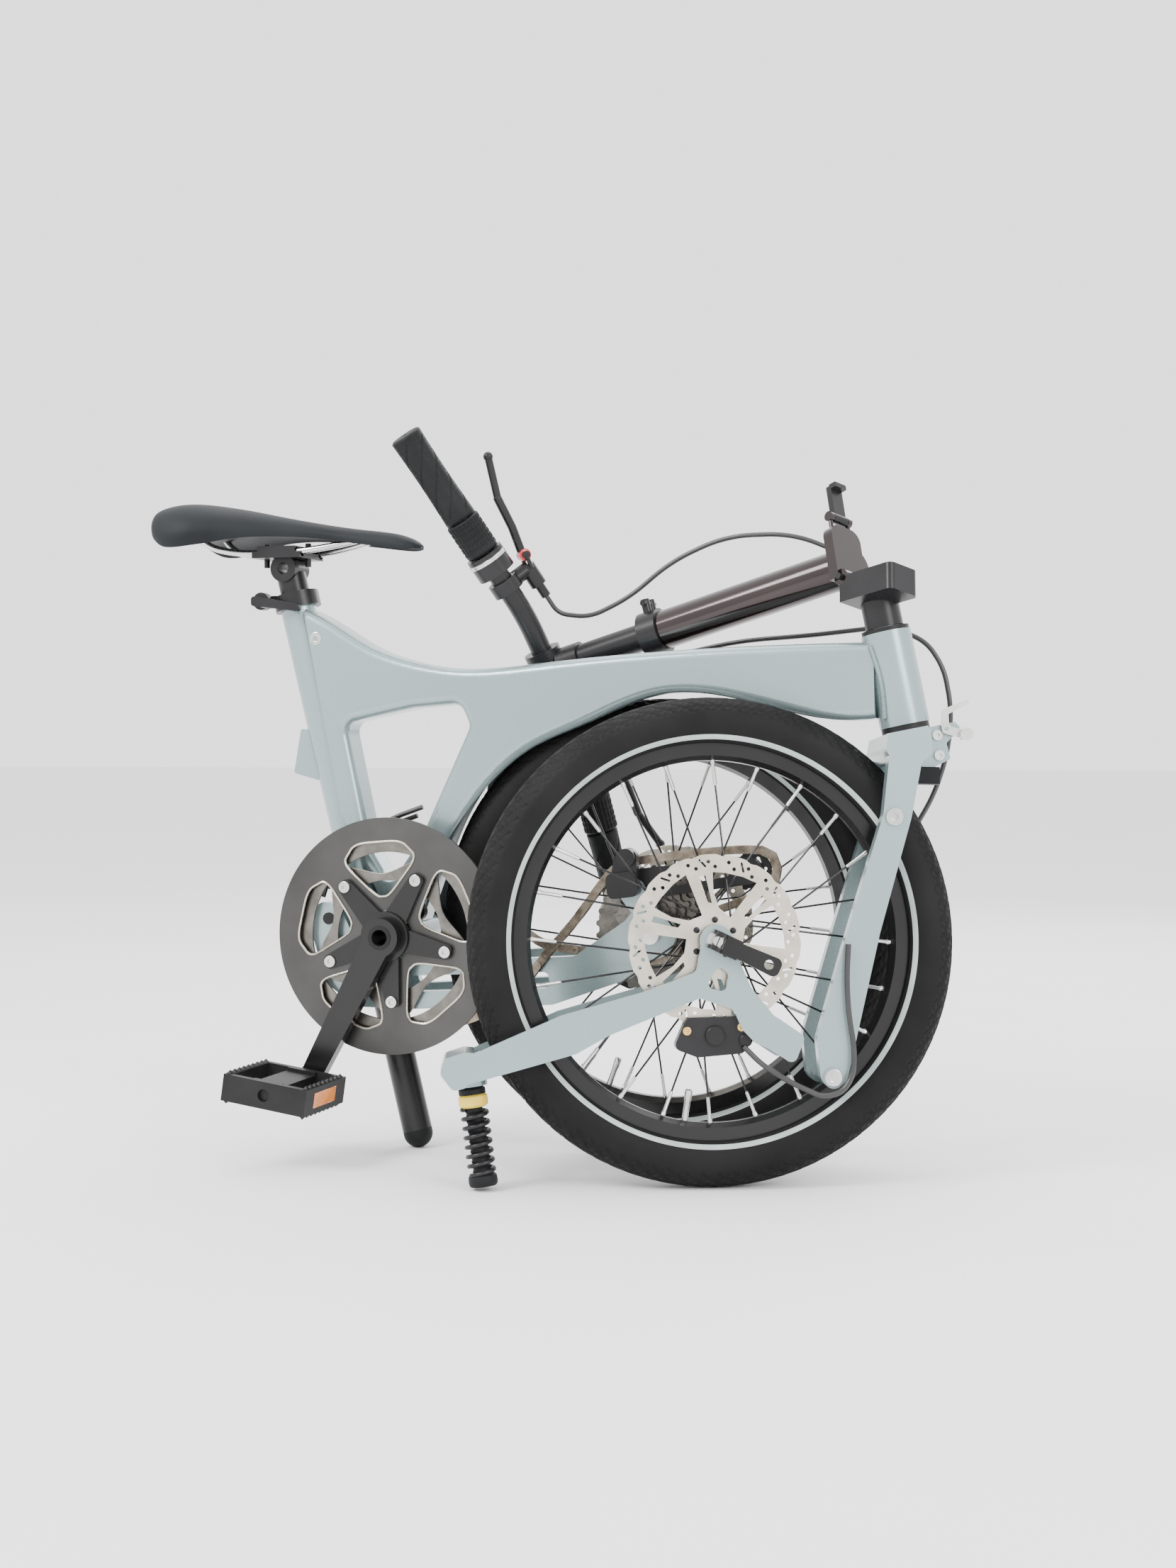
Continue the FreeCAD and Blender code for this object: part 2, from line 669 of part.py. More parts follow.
def quick_release(axle, face, angle, length):
    """Cam lever lying against a fork end on the -Y side; it swings out about its own pin."""
    cheek_gap = 5.2
    pivot = axle - Y_AXIS * (face + RELEASE_REACH)
    cheeks = [rod(V(0, 0, side * cheek_gap), V(0, 0, side * 9), 7) for side in (-1, 1)]
    pin = rod(V(0, 0, -9), V(0, 0, 9), RELEASE_PIN_R)
    web = box(6, 22, -2.5, 2.5, -9, 9)
    blade = plate([(16, -7), (length, -9), (length, 9), (16, 7)], 6, -2.5, 2.5)
    hole = along_y(V(length - 11, 0, 0), 4.5, -5, 5)
    lever = join(cheeks + [pin, web, blade]).cut(hole)
    lever.rotate(V(0, 0, 0), Y_AXIS, -angle)
    lever.translate(pivot)
    return lever


def front_skewer():
    return with_fork(skewer(FRONT_AXLE, FRONT_FACE, FRONT_LEVER_ANGLE))


def front_quick_release():
    return with_fork(quick_release(FRONT_AXLE, FRONT_FACE, FRONT_LEVER_ANGLE, 62))


def rear_skewer():
    return with_rear(mirrored_y(skewer(REAR_AXLE, REAR_FACE, REAR_LEVER_ANGLE)))


def rear_quick_release():
    return with_rear(mirrored_y(quick_release(REAR_AXLE, REAR_FACE, REAR_LEVER_ANGLE, 62)))


def derailleur_body():
    upper = jockey_centres()[0]
    block = plate([(upper.x - 15, upper.z - 12), (upper.x - 18, upper.z + 12),
                   (upper.x + 10, upper.z + 16), (upper.x + 15, upper.z - 8)], 6, -96, -REAR_FACE)
    link = plate([(upper.x - 14, upper.z + 2), (upper.x - 10, upper.z + 30),
                  (upper.x + 12, upper.z + 36), (upper.x + 12, upper.z + 4)], 5, -92, -80)
    barrel = along_y(upper + V(2, 0, 28), 9, -98, -78)
    pin = along_y(upper, CAGE_PIN_R, -REAR_FACE, -62.6)
    return with_rear(join([block, link, barrel, pin]))


def jockey_centres():
    return REAR_AXLE + V(-23, CAGE_Y, 46), REAR_AXLE + V(96, CAGE_Y, 62)


def derailleur_cage():
    upper, lower = jockey_centres()
    outline = [(upper.x - 15, upper.z - 6), (upper.x - 8, upper.z + 14), (lower.x, lower.z + 13),
               (lower.x + 14, lower.z), (lower.x, lower.z - 13), (upper.x + 10, upper.z - 14)]
    slot = plate([(upper.x + 26, upper.z - 4), (upper.x + 26, upper.z + 8),
                  (lower.x - 22, lower.z + 5), (lower.x - 22, lower.z - 6)], 5, -99, 99)
    pieces = []
    for side in (-1, 1):
        y_low, y_high = sorted((CAGE_Y + side * 4.5, CAGE_Y + side * 5.6))
        pieces.append(plate(outline, 8, y_low, y_high).cut(slot))
    for centre in (upper, lower):
        pieces.append(along_y(centre, JOCKEY_PIN_R, CAGE_Y - 5.6, CAGE_Y + 5.6))
    pieces.append(ring_y(upper, 9, CAGE_PIN_R + RUNNING_GAP, -REAR_HUB_HALF + 0.4, CAGE_Y - 5.6))
    return with_rear(join(pieces).cut(along_y(upper, CAGE_PIN_R + RUNNING_GAP, -99, -62.2)))


def jockey_wheel(centre):
    wheel = ring_y(centre, 19.5, JOCKEY_PIN_R + RUNNING_GAP, CAGE_Y - 3.5, CAGE_Y + 3.5)
    cuts = [ring_y(centre, 30, 18, CAGE_Y - 3.6, CAGE_Y - 1.2),
            ring_y(centre, 30, 18, CAGE_Y + 1.2, CAGE_Y + 3.6)]
    for index in range(6):
        cuts.append(along_y(polar(centre, 11, 60 * index, 0), 3, -99, 99))
    return with_rear(wheel.cut(join(cuts)))


def cassette():
    pieces = [along_y(REAR_AXLE, 17, -REAR_HUB_HALF + 4, -FIRST_SPROCKET + 2)]
    for index, teeth in enumerate(SPROCKET_TEETH):
        radius = CHAIN_PITCH / 2 / math.sin(math.pi / teeth) - 3.2
        y = -FIRST_SPROCKET - index * SPROCKET_PITCH
        disc = along_y(REAR_AXLE, radius, y - 1, y + 1)
        if teeth > 20:
            windows = [along_y(polar(REAR_AXLE, radius * 0.68, 60 * n, 0), radius * 0.17, y - 2, y + 2)
                       for n in range(6)]
            disc = disc.cut(join(windows))
        pieces.append(disc)
    bore = along_y(REAR_AXLE, FREEHUB_R + RUNNING_GAP, -99, 0)
    return with_rear(join(pieces).cut(bore))


def rear_point(x, z):
    """Point in the rear arm's chain plane, given before the arm is turned to its folded plane."""
    turn = math.radians(REAR_TURN)
    ahead = x - REAR_PIVOT.x
    return (REAR_PIVOT.x + ahead * math.cos(turn) - CAGE_Y * math.sin(turn),
            ahead * math.sin(turn) + CAGE_Y * math.cos(turn), z)


def corners_round(centre, radius, angles):
    return [(centre.x + radius * math.cos(math.radians(angle)),
             centre.z + radius * math.sin(math.radians(angle))) for angle in angles]


def chain():
    """Whole chain: cassette, both jockey wheels, slack run, back of the chainring, other run."""
    upper, lower = jockey_centres()
    gear_side = [(-90, 200.8)]
    gear_side += corners_round(REAR_AXLE, 29.4, (-67.5, -22.5, 22.5))
    gear_side += corners_round(lower, 25.2, (-67.5, -22.5, 22.5, 67.5))
    gear_side += corners_round(upper, 24.8, (112.5, 157.5))
    points = [rear_point(x, z) for x, z in gear_side]
    points += [(-148, -40, 236), (-174, -49.8, 206), (-216, -48.6, 148.8)]
    corners = 8
    step = (CHAIN_ON_RING - CHAIN_OFF_RING) / corners
    corner_radius = (CHAIN_WRAP_R + 0.3) / math.cos(math.radians(step / 2))
    for index in range(corners):
        angle = CHAIN_ON_RING - step * (index + 0.5)
        corner = crank_point(corner_radius, angle, -CHAINLINE)
        points.append((corner.x, corner.y, corner.z))
    points += [(-190, -38, 212.5), (-150, -27.6, 209), (-98, -28.4, 201.4)]
    return held_cable(points, CHAIN_R)


# ---- fork, front arm and front wheel ----
def fork_leg(side):
    outline = [(143, 430), (144, 410), (137, 341), (106, 240), (76, 136), (80, 98), (92, 88),
               (104, 98), (134, 232), (163, 338), (177, 412), (180, 430)]
    return plate(outline, 14, *sorted((side * LEG_INNER, side * LEG_OUTER)))


def fork():
    """Crown, legs, steerer, front bracket and the pins that the front arm turns on."""
    crown = plate([(139, 400), (143, 424), (181, 424), (183, 398), (172, 388), (148, 388)], 8,
                  -LEG_OUTER, LEG_OUTER)
    bracket = plate([(178, 418), (186, 426), (211, 433), (219, 425), (205, 411), (209, 396),
                     (188, 385), (176, 392)], 3, -6, 6)
    legs = [fork_leg(side) for side in (-1, 1)]
    above = rod(steering(-6.2), steering(60), 60)
    lower = join([crown, bracket] + legs).cut(above)
    steerer = rod(steering(-12), steering(118), STEERER_R)
    race = rod(steering(-12), steering(-6.2), HEAD_R - 1)
    hook_pin = along_y(HOOK_PIVOT, HOOK_PIN_R, -13, 6)
    pins = [along_y(FRONT_PIVOT, FRONT_PIN_R, *sorted((side * ARM_FOOT_INNER, side * LEG_OUTER)))
            for side in (-1, 1)]
    heads = [along_y(FRONT_PIVOT, 9, *sorted((side * LEG_OUTER, side * (LEG_OUTER + 3))))
             for side in (-1, 1)]
    return with_fork(join([lower, steerer, race, hook_pin] + pins + heads))


def front_blade(side):
    ax = FRONT_AXLE.x
    az = FRONT_AXLE.z
    plane = sorted((side * FRONT_HUB_HALF, side * (FRONT_HUB_HALF + ARM_PLATE)))
    rear_half = [(-13, 4), (-4, 13), (6, 13), (13, 4), (20, -16), (32, -42), (52, -66), (66, -78),
                 (52, -96), (36, -92), (24, -80), (16, -62), (-15, -52), (-97, -86), (-127, -103),
                 (-228, -132), (-240, -118), (-226, -106), (-140, -68), (-65, -46), (-18, -28)]
    blade = plate([(ax + x, az + z) for x, z in rear_half], 7, *plane)
    thick = sorted((side * LEG_INNER, side * (FRONT_HUB_HALF + ARM_PLATE)))
    knee = plate([(ax + x, az + z) for x, z in
                  [(44, -62), (58, -70), (82, -86), (72, -112), (50, -98), (36, -92)]], 6, *thick)
    foot_y = sorted((side * ARM_FOOT_INNER, side * (LEG_INNER - 0.6)))
    inner_y = sorted((side * ARM_FOOT_INNER, side * (LEG_INNER + 4)))
    foot = plate([(ax + x, az + z) for x, z in
                  [(62, -82), (92, -100), (121, -112), (119, -133), (104, -138), (72, -112)]],
                 9, *foot_y)
    root = plate([(ax + x, az + z) for x, z in
                  [(54, -76), (74, -88), (78, -98), (72, -112), (56, -100)]], 4, *inner_y)
    boss = along_y(FRONT_AXLE, 15, *plane)
    window = plate([(ax + x, az + z) for x, z in [(2, -22), (12, -30), (8, -46), (-10, -42)]],
                   5, -60, 60)
    rest_hole = along_y(FRONT_AXLE + V(8, 0, -12), 2.5, -60, 60)
    return join([blade, knee, foot, root, boss]).cut(window).cut(rest_hole)


def front_arm():
    ax = FRONT_AXLE.x
    az = FRONT_AXLE.z
    bridge = plate([(ax - 214, az - 103), (ax - 226, az - 134), (ax - 238, az - 137),
                    (ax - 250, az - 122), (ax - 246, az - 108), (ax - 228, az - 102)],
                   6, -FRONT_HUB_HALF - ARM_PLATE, FRONT_HUB_HALF + ARM_PLATE)
    tyre_room = along_y(FRONT_AXLE, TYRE_OUTER + 5, -FRONT_HUB_HALF, FRONT_HUB_HALF)
    solid = join([front_blade(-1), front_blade(1), bridge]).cut(tyre_room)
    seat = V(SPRING_TOP)
    socket = rod(seat, seat + unit(SPRING_TOP - SPRING_FOOT) * 8, 15)
    solid = solid.fuse(socket.cut(tyre_room))
    holes = join([along_y(FRONT_AXLE, AXLE_R, -60, 60),
                  along_y(FRONT_PIVOT, FRONT_PIN_R + RUNNING_GAP, -60, 60)])
    return with_fork(solid.cut(holes))


def front_spring():
    """Spring and damper unit, cut flat where it stands on the floor."""
    below = SPRING_FOOT + unit(SPRING_FOOT - SPRING_TOP) * 30
    floor = box(-600, 400, -400, 400, -80, 0)
    return with_fork(rod(below, SPRING_TOP, SPRING_R)).cut(floor)


def front_caliper():
    centre = FRONT_AXLE + V(4, 0, -80)
    body = plate([(centre.x - 42, centre.z - 18), (centre.x - 30, centre.z + 10),
                  (centre.x + 26, centre.z + 12), (centre.x + 34, centre.z - 2),
                  (centre.x + 22, centre.z - 22), (centre.x - 20, centre.z - 26)], 6, -36.8, -20)
    slot = along_y(FRONT_AXLE, ROTOR_OUTER + 1.5, FRONT_ROTOR_Y - 1.5, FRONT_ROTOR_Y + 3.3)
    return with_fork(body.cut(slot))


def front_hose():
    route = [(10, -40, 128), (26, -44, 112), (52, -52, 96), (80, -56, 84), (98, -56, 88),
             (108, -55, 104), (109, -54, 128), (104, -53, 158), (102, -53, 190), (104, -51, 222)]
    return with_fork(held_cable(route, CABLE_R))


def upper_hose():
    route = [(166, 49, 300), (185, 47, 330), (204, 42, 364), (216, 36, 404), (219, 32, 446),
             (212, 34, 486), (196, 38, 512), (170, 44, 524)]
    return with_fork(held_cable(route, CABLE_R))


def stem_point(distance):
    return STEM_START + unit(STEM_DIRECTION) * distance


def hinge_frame(normal):
    """Directions of one mating face of the stem hinge: away from the pin, along it, and out."""
    along = unit(STEM_HINGE_AXIS)
    out = unit(normal - along * normal.dot(along))
    away = unit(along.cross(out))
    return away, along, out


def hinge_block(directions, away_range, half_width, out_range, corner):
    """Block given in one mating face's own directions, with rounded free corners."""
    away, along, out = directions
    low, high = away_range
    bottom, top = out_range
    turn = FreeCAD.Matrix(away.x, along.x, out.x, STEM_HINGE.x, away.y, along.y, out.y,
                          STEM_HINGE.y, away.z, along.z, out.z, STEM_HINGE.z)
    block = Part.makeBox(high - low, 2 * half_width, top - bottom, V(low, -half_width, bottom))
    if corner:
        upright = [edge for edge in block.Edges
                   if edge.BoundBox.ZLength > 0.5 * (top - bottom) and edge.CenterOfMass.x > low + 1]
        block = block.makeFillet(corner, upright)
    block.Placement = FreeCAD.Placement(turn)
    return block


def knuckle(low, high, radius):
    """Cylinder about the stem hinge's pin between two distances from its middle."""
    along = unit(STEM_HINGE_AXIS)
    return rod(STEM_HINGE + along * low, STEM_HINGE + along * high, radius)


def stem_base():
    """Block clamped on the steerer, with the fixed half of the stem hinge and its pin."""
    face = hinge_frame(HEAD_HIGH - HEAD_LOW)
    block = hinge_block(face, (0, STEM_BASE_REACH), 20, (-26, -0.2), 6)
    neck = rod(steering(94.5), steering(150), 18)
    room_above = hinge_block(face, (-60, 90), 60, (-0.2, 60), 0)
    room_behind = hinge_block(face, (-60, 0), 60, (-90, 60), 0)
    body = block.fuse(neck).cut(room_above).cut(room_behind)
    body = body.cut(rod(steering(80), steering(118), STEERER_R))
    body = body.cut(join([knuckle(7.7, 40, KNUCKLE_R + 0.5), knuckle(-40, -7.7, KNUCKLE_R + 0.5)]))
    pin = knuckle(-22, 22, HINGE_PIN_R)
    return join([body, knuckle(-7.5, 7.5, KNUCKLE_R), pin])


def latch_pivot():
    away, _, out = hinge_frame(STEM_DIRECTION)
    return STEM_HINGE + away * (STEM_BASE_REACH + 7) + out * 6


def stem_tube():
    """Folding stem: hinge flange, knuckles, latch ears and the wide outer tube."""
    face = hinge_frame(STEM_DIRECTION)
    away, along, out = face
    flange = hinge_block(face, (0, STEM_BASE_REACH - 4), 21, (0.2, 11), 12)
    outer = rod(stem_point(STEM_ROOT - 20), stem_point(STEM_TUBE_LENGTH), STEM_TUBE_R)
    behind = hinge_block(face, (-90, 0), 90, (-90, 90), 0)
    below = hinge_block(face, (-90, 90), 90, (-90, 0.2), 0)
    body = flange.fuse(outer.cut(join([behind, below])))
    body = body.cut(knuckle(-7.7, 7.7, KNUCKLE_R + 0.5))
    knuckles = [knuckle(8, 18, KNUCKLE_R), knuckle(-18, -8, KNUCKLE_R)]
    pivot = latch_pivot()
    ears = []
    for side in (-1, 1):
        ear = rod(pivot + along * (side * 10), pivot + along * (side * 15), 5)
        stalk_end = pivot - away * 16
        stalk = rod(stalk_end + along * (side * 12.5), pivot + along * (side * 12.5), 2.2)
        ears += [ear, stalk]
    ears.append(rod(pivot - along * 15, pivot + along * 15, LATCH_PIN_R))
    post_bore = rod(stem_point(60), stem_point(STEM_TUBE_LENGTH + 5), BAR_POST_R + RUNNING_GAP)
    pin_bore = knuckle(-30, 30, HINGE_PIN_R + RUNNING_GAP)
    return join([body] + knuckles + ears).cut(join([post_bore, pin_bore]))


def stem_latch():
    """Latch lever, shown swung open away from the hinge."""
    away, along, out = hinge_frame(STEM_DIRECTION)
    pivot = latch_pivot()
    barrel = rod(pivot - along * 9.5, pivot + along * 9.5, 5)
    far = STEM_BASE_REACH + 7
    blade = hinge_block((away, along, out), (far, far + 36), 8, (3, 9), 3)
    toe = hinge_block((away, along, out), (far + 31, far + 36), 8, (-3, 5), 0)
    bore = rod(pivot - along * 20, pivot + along * 20, LATCH_PIN_R + RUNNING_GAP)
    return join([barrel, blade, toe]).cut(bore)


def bar_post():
    tube = rod(stem_point(STEM_TUBE_LENGTH - 70), stem_point(BAR_REACH - 16), BAR_POST_R)
    across = unit(BAR_DIRECTION) * 21
    clamp = rod(bar_centre() - across, bar_centre() + across, 19)
    neck = rod(stem_point(BAR_REACH - 40), stem_point(BAR_REACH - 16), BAR_POST_R + 3)
    bore = rod(bar_centre() - across * 2, bar_centre() + across * 2, BAR_R)
    return join([tube, neck, clamp]).cut(bore)


def stem_lock():
    """Clamp collar at the end of the stem tube that holds the telescopic bar post."""
    direction = unit(STEM_DIRECTION)
    start = stem_point(STEM_TUBE_LENGTH - 16)
    end = stem_point(STEM_TUBE_LENGTH + 5)
    collar = sleeve(start, end, STEM_TUBE_R + 3.5, STEM_TUBE_R)
    lid = sleeve(stem_point(STEM_TUBE_LENGTH), end, STEM_TUBE_R + 3.5, BAR_POST_R + RUNNING_GAP)
    up = unit(Z_AXIS - direction * direction.z)
    side = direction.cross(up)
    foot = stem_point(STEM_TUBE_LENGTH - 6) + up * (STEM_TUBE_R + 1)
    ears = [rod(foot + side * shift, foot + side * shift + up * 14, 4.5) for shift in (-6, 6)]
    bolt = rod(foot + up * 10 - side * 13, foot + up * 10 + side * 13, 3)
    return join([collar, lid, bolt] + ears)


def bar_centre():
    return stem_point(BAR_REACH)


def bar_outward(side):
    """Direction of one grip, from the middle outward; side -1 is the right grip."""
    sweep = math.radians(BAR_SWEEP)
    return unit(BAR_DIRECTION) * (side * math.cos(sweep)) + unit(BAR_SWEEP_TO) * math.sin(sweep)


def bar_knee(side):
    return bar_centre() + unit(BAR_DIRECTION) * (side * BAR_KNEE)


def grip_point(side, from_end):
    """Point of the bar's axis on the swept part, measured in from the end."""
    return bar_knee(side) + bar_outward(side) * (BAR_HALF - BAR_KNEE - from_end)


def handlebar():
    path = [grip_point(-1, 2), bar_knee(-1), bar_knee(1), grip_point(1, 2)]
    return held_cable([tuple(p) for p in path], BAR_R, 24.0)


def grips():
    pieces = []
    for side in (-1, 1):
        body = sleeve(grip_point(side, 0), grip_point(side, GRIP_LENGTH), GRIP_R, BAR_R)
        cap = rod(grip_point(side, 0), grip_point(side, 2), GRIP_R - 1)
        pieces.append(body.fuse(cap))
    return group(pieces)


def twist_shifter(side):
    low = GRIP_LENGTH + 1
    return sleeve(grip_point(side, low), grip_point(side, low + TWIST_LENGTH), GRIP_R + 1.5,
                  BAR_R + RUNNING_GAP)


def control_frame(side):
    """Origin on the bar, outward direction and the direction that the lever hangs to."""
    out = bar_outward(side)
    hang = unit(BAR_SWEEP_TO) * -1
    hang = unit(hang - out * hang.dot(out))
    return grip_point(side, LEVER_CLAMP), out, hang


def bar_controls():
    """Per side: shifter housing, lever clamp, master cylinder with its two ears, and the pin."""
    pieces = []
    for side in (-1, 1):
        start = GRIP_LENGTH + TWIST_LENGTH + 2
        shifter = sleeve(grip_point(side, start), grip_point(side, start + 24), 20, BAR_R)
        origin, out, hang = control_frame(side)
        clamp = sleeve(origin - out * 7, origin + out * 7, 16, BAR_R)
        arm = rod(origin + hang * 13, origin + hang * 30, 8)
        barrel = rod(origin + hang * 30 - out * 34, origin + hang * 30 - out * 4, 5)
        master = rod(origin + hang * 30 - out * 20, origin + hang * 30 + out * 3, 8.5)
        pivot = lever_pivot(side)
        axis = lever_axis(side)
        ears = []
        for ear_side in (-1, 1):
            foot = origin + hang * 31 + axis * (ear_side * 8)
            ears.append(rod(foot, pivot + axis * (ear_side * 8), 2.2))
            ears.append(rod(pivot + axis * (ear_side * 5.6), pivot + axis * (ear_side * 9), 4))
        pin = rod(pivot - axis * 9, pivot + axis * 9, LEVER_PIN_R)
        pieces.append(shifter)
        pieces.append(join([clamp, arm, master, barrel, pin] + ears))
    return group(pieces)


def lever_pivot(side):
    origin, out, hang = control_frame(side)
    return origin + hang * 34 + out * 14


def lever_axis(side):
    _, out, hang = control_frame(side)
    return unit(out.cross(hang))


def brake_lever(side):
    _, out, hang = control_frame(side)
    pivot = lever_pivot(side)
    axis = lever_axis(side)
    barrel = rod(pivot - axis * 5, pivot + axis * 5, 6)
    bend = pivot + out * 30 + hang * 6
    knee = pivot + out * 62 + hang * 10
    tip = pivot + out * 102 + hang * 26
    blade = [rod(pivot + out * 5, bend, 4.5), rod(bend, knee, 4.5), rod(knee, tip, 4),
             Part.makeSphere(4.5, bend), Part.makeSphere(4.5, knee), Part.makeSphere(5, tip)]
    bore = rod(pivot - axis * 20, pivot + axis * 20, LEVER_PIN_R + RUNNING_GAP)
    return join([barrel] + blade).cut(bore)


# ---- small moving parts ----
def barrel_end(side):
    origin, out, hang = control_frame(side)
    return origin + hang * 30 - out * 34


def bar_cables():
    """One cable from each brake lever to the head of the bicycle, behind the folded stem."""
    right = barrel_end(-1) - bar_outward(-1) * 0.5
    left = barrel_end(1) - bar_outward(1) * 0.5
    over = [tuple(right), tuple(right - bar_outward(-1) * 22), (-172, 84, 540), (-132, 92, 560),
            (-88, 94, 596), (-30, 92, 620), (40, 88, 620), (96, 82, 596), (134, 70, 560),
            (150, 58, 528)]
    under = [tuple(left), tuple(left - bar_outward(1) * 20), (-140, 116, 478), (-90, 108, 500),
             (-20, 98, 514), (60, 84, 518), (112, 68, 522), (146, 49.5, 524)]
    return group([held_cable(over, CABLE_R), held_cable(under, CABLE_R)])


def fork_hook():
    """Sprung hook on the crown's front bracket that holds the front strut when riding."""
    barrel = along_y(HOOK_PIVOT, 4.5, -12, -6.4)
    x = HOOK_PIVOT.x
    z = HOOK_PIVOT.z
    hook = plate([(x - 5, z), (x - 4, z + 18), (x + 20, z + 28), (x + 22, z + 24), (x + 2, z + 14),
                  (x + 3, z)], 2, -10, -7)
    arm = plate([(x - 4, z + 4), (x + 22, z - 2), (x + 20, z - 10), (x - 4, z - 4)], 2, -10, -7)
    knob = along_y(V(x + 18, 0, z - 5), 6, -16, -7)
    bore = along_y(HOOK_PIVOT, HOOK_PIN_R + RUNNING_GAP, -20, 0)
    return with_fork(join([barrel, hook, arm, knob]).cut(bore))


def rear_caliper():
    centre = REAR_AXLE + V(-52, 0, -46)
    body = plate([(centre.x - 26, centre.z - 8), (centre.x - 14, centre.z + 22),
                  (centre.x + 12, centre.z + 20), (centre.x + 26, centre.z - 4),
                  (centre.x + 8, centre.z - 22)], 6, 44, 67)
    slot = along_y(REAR_AXLE, ROTOR_OUTER + 1.5, REAR_ROTOR_Y - 1.5, REAR_ROTOR_Y + 3.3)
    return with_rear(body.cut(slot).cut(rear_blade(1)))


def front_wheel_nodes():
    right = -FRONT_FLANGE
    left = FRONT_FLANGE + 2
    return {
        "front_tyre": tyre(FRONT_AXLE),
        "front_rim": rim(FRONT_AXLE),
        "front_spokes": spokes(FRONT_AXLE, right, left, 22),
        "front_hub": hub(FRONT_AXLE, FRONT_HUB_HALF, right, left, 22, AXLE_R + RUNNING_GAP),
        "front_rotor": rotor(FRONT_AXLE, FRONT_ROTOR_Y),
    }


def rear_wheel_nodes():
    right = -REAR_FLANGE + 4
    left = REAR_FLANGE + 8
    body = hub(REAR_AXLE, REAR_HUB_HALF, right, left, 24, AXLE_R + RUNNING_GAP)
    freehub = ring_y(REAR_AXLE, FREEHUB_R, AXLE_R + RUNNING_GAP, -REAR_HUB_HALF + 5, right)
    return {
        "rear_tyre": tyre(REAR_AXLE),
        "rear_rim": rim(REAR_AXLE),
        "rear_spokes": spokes(REAR_AXLE, right, left, 24),
        "rear_hub": body.fuse(freehub),
        "rear_rotor": rotor(REAR_AXLE, REAR_ROTOR_Y),
    }


NODES = {}


def whole_middle(nodes):
    """Middle of everything's box in X and Y, on the floor."""
    boxes = [shape.optimalBoundingBox() for shape in nodes.values()]
    x = (min(b.XMin for b in boxes) + max(b.XMax for b in boxes)) / 2
    y = (min(b.YMin for b in boxes) + max(b.YMax for b in boxes)) / 2
    return V(x, y, 0)


def build():
    """Make every node, then move them all so that the origin is under the middle of the box."""
    NODES["frame"] = frame()
    NODES["seat_clamp"] = seat_clamp()
    hardware = [bearing_cups(), fold_stop(), rear_pivot_pin()]
    NODES["frame_hardware"] = group([solid for shape in hardware for solid in shape.Solids])
    NODES["rear_cables"] = rear_cables()
    NODES["seat_clamp_lever"] = seat_clamp_lever()
    NODES["seatpost"] = seatpost()
    NODES["post_plug"] = post_plug()
    NODES["saddle_clamp"] = saddle_clamp()
    NODES["saddle_rails"] = saddle_rails()
    NODES["saddle"] = saddle()
    NODES["crank_right"] = crank_right()
    NODES["crank_left"] = crank_left()
    NODES["crank_axles"] = group([crank_spindle(), pedal_axle(-1), pedal_axle(1)])
    NODES["chainring"] = chainring()
    NODES["chain_guard"] = chain_guard()
    NODES["chainring_bolts"] = chainring_bolts()
    NODES["pedal_right"] = pedal(-1)
    NODES["pedal_left"] = pedal(1)
    NODES["rear_arm"] = rear_arm()
    NODES["rear_skewer"] = rear_skewer()
    NODES["rear_quick_release"] = rear_quick_release()
    NODES["derailleur_body"] = derailleur_body()
    NODES["rear_caliper"] = rear_caliper()
    NODES["derailleur_cage"] = derailleur_cage()
    upper, lower = jockey_centres()
    NODES["jockey_wheel_upper"] = jockey_wheel(upper)
    NODES["jockey_wheel_lower"] = jockey_wheel(lower)
    NODES["cassette"] = cassette()
    NODES["chain"] = chain()
    for name, shape in rear_wheel_nodes().items():
        NODES[name] = with_rear(shape)
    for name, shape in front_wheel_nodes().items():
        NODES[name] = with_fork(shape)
    NODES["fork"] = fork()
    NODES["stem_base"] = stem_base()
    NODES["fork_hook"] = fork_hook()
    NODES["front_arm"] = front_arm()
    NODES["front_spring"] = front_spring()
    NODES["front_caliper"] = front_caliper()
    NODES["front_skewer"] = front_skewer()
    NODES["front_hose"] = front_hose()
    NODES["upper_hose"] = upper_hose()
    NODES["front_quick_release"] = front_quick_release()
    NODES["stem_tube"] = stem_tube()
    NODES["stem_latch"] = stem_latch()
    NODES["stem_lock"] = stem_lock()
    NODES["bar_post"] = bar_post()
    NODES["handlebar"] = handlebar()
    NODES["grips"] = grips()
    NODES["bar_controls"] = bar_controls()
    NODES["bar_cables"] = bar_cables()
    NODES["twist_shifter_right"] = twist_shifter(-1)
    NODES["twist_shifter_left"] = twist_shifter(1)
    NODES["brake_lever_right"] = brake_lever(-1)
    NODES["brake_lever_left"] = brake_lever(1)
    shift = whole_middle(NODES) * -1
    for name in NODES:
        NODES[name] = NODES[name].translated(shift)
    return shift


def export():
    os.makedirs("parts", exist_ok=True)
    for name, shape in NODES.items():
        shape.exportStep("parts/%s.step" % name)
        box_now = shape.optimalBoundingBox()
        print("%-22s %s %3d  x %.0f..%.0f y %.0f..%.0f z %.1f..%.1f" % (
            name, shape.isValid(), len(shape.Solids), box_now.XMin, box_now.XMax, box_now.YMin,
            box_now.YMax, box_now.ZMin, box_now.ZMax))


SHIFT = build()
print("origin shift", SHIFT)
export()
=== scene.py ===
import json
import math

import bpy
from mathutils import Matrix, Vector


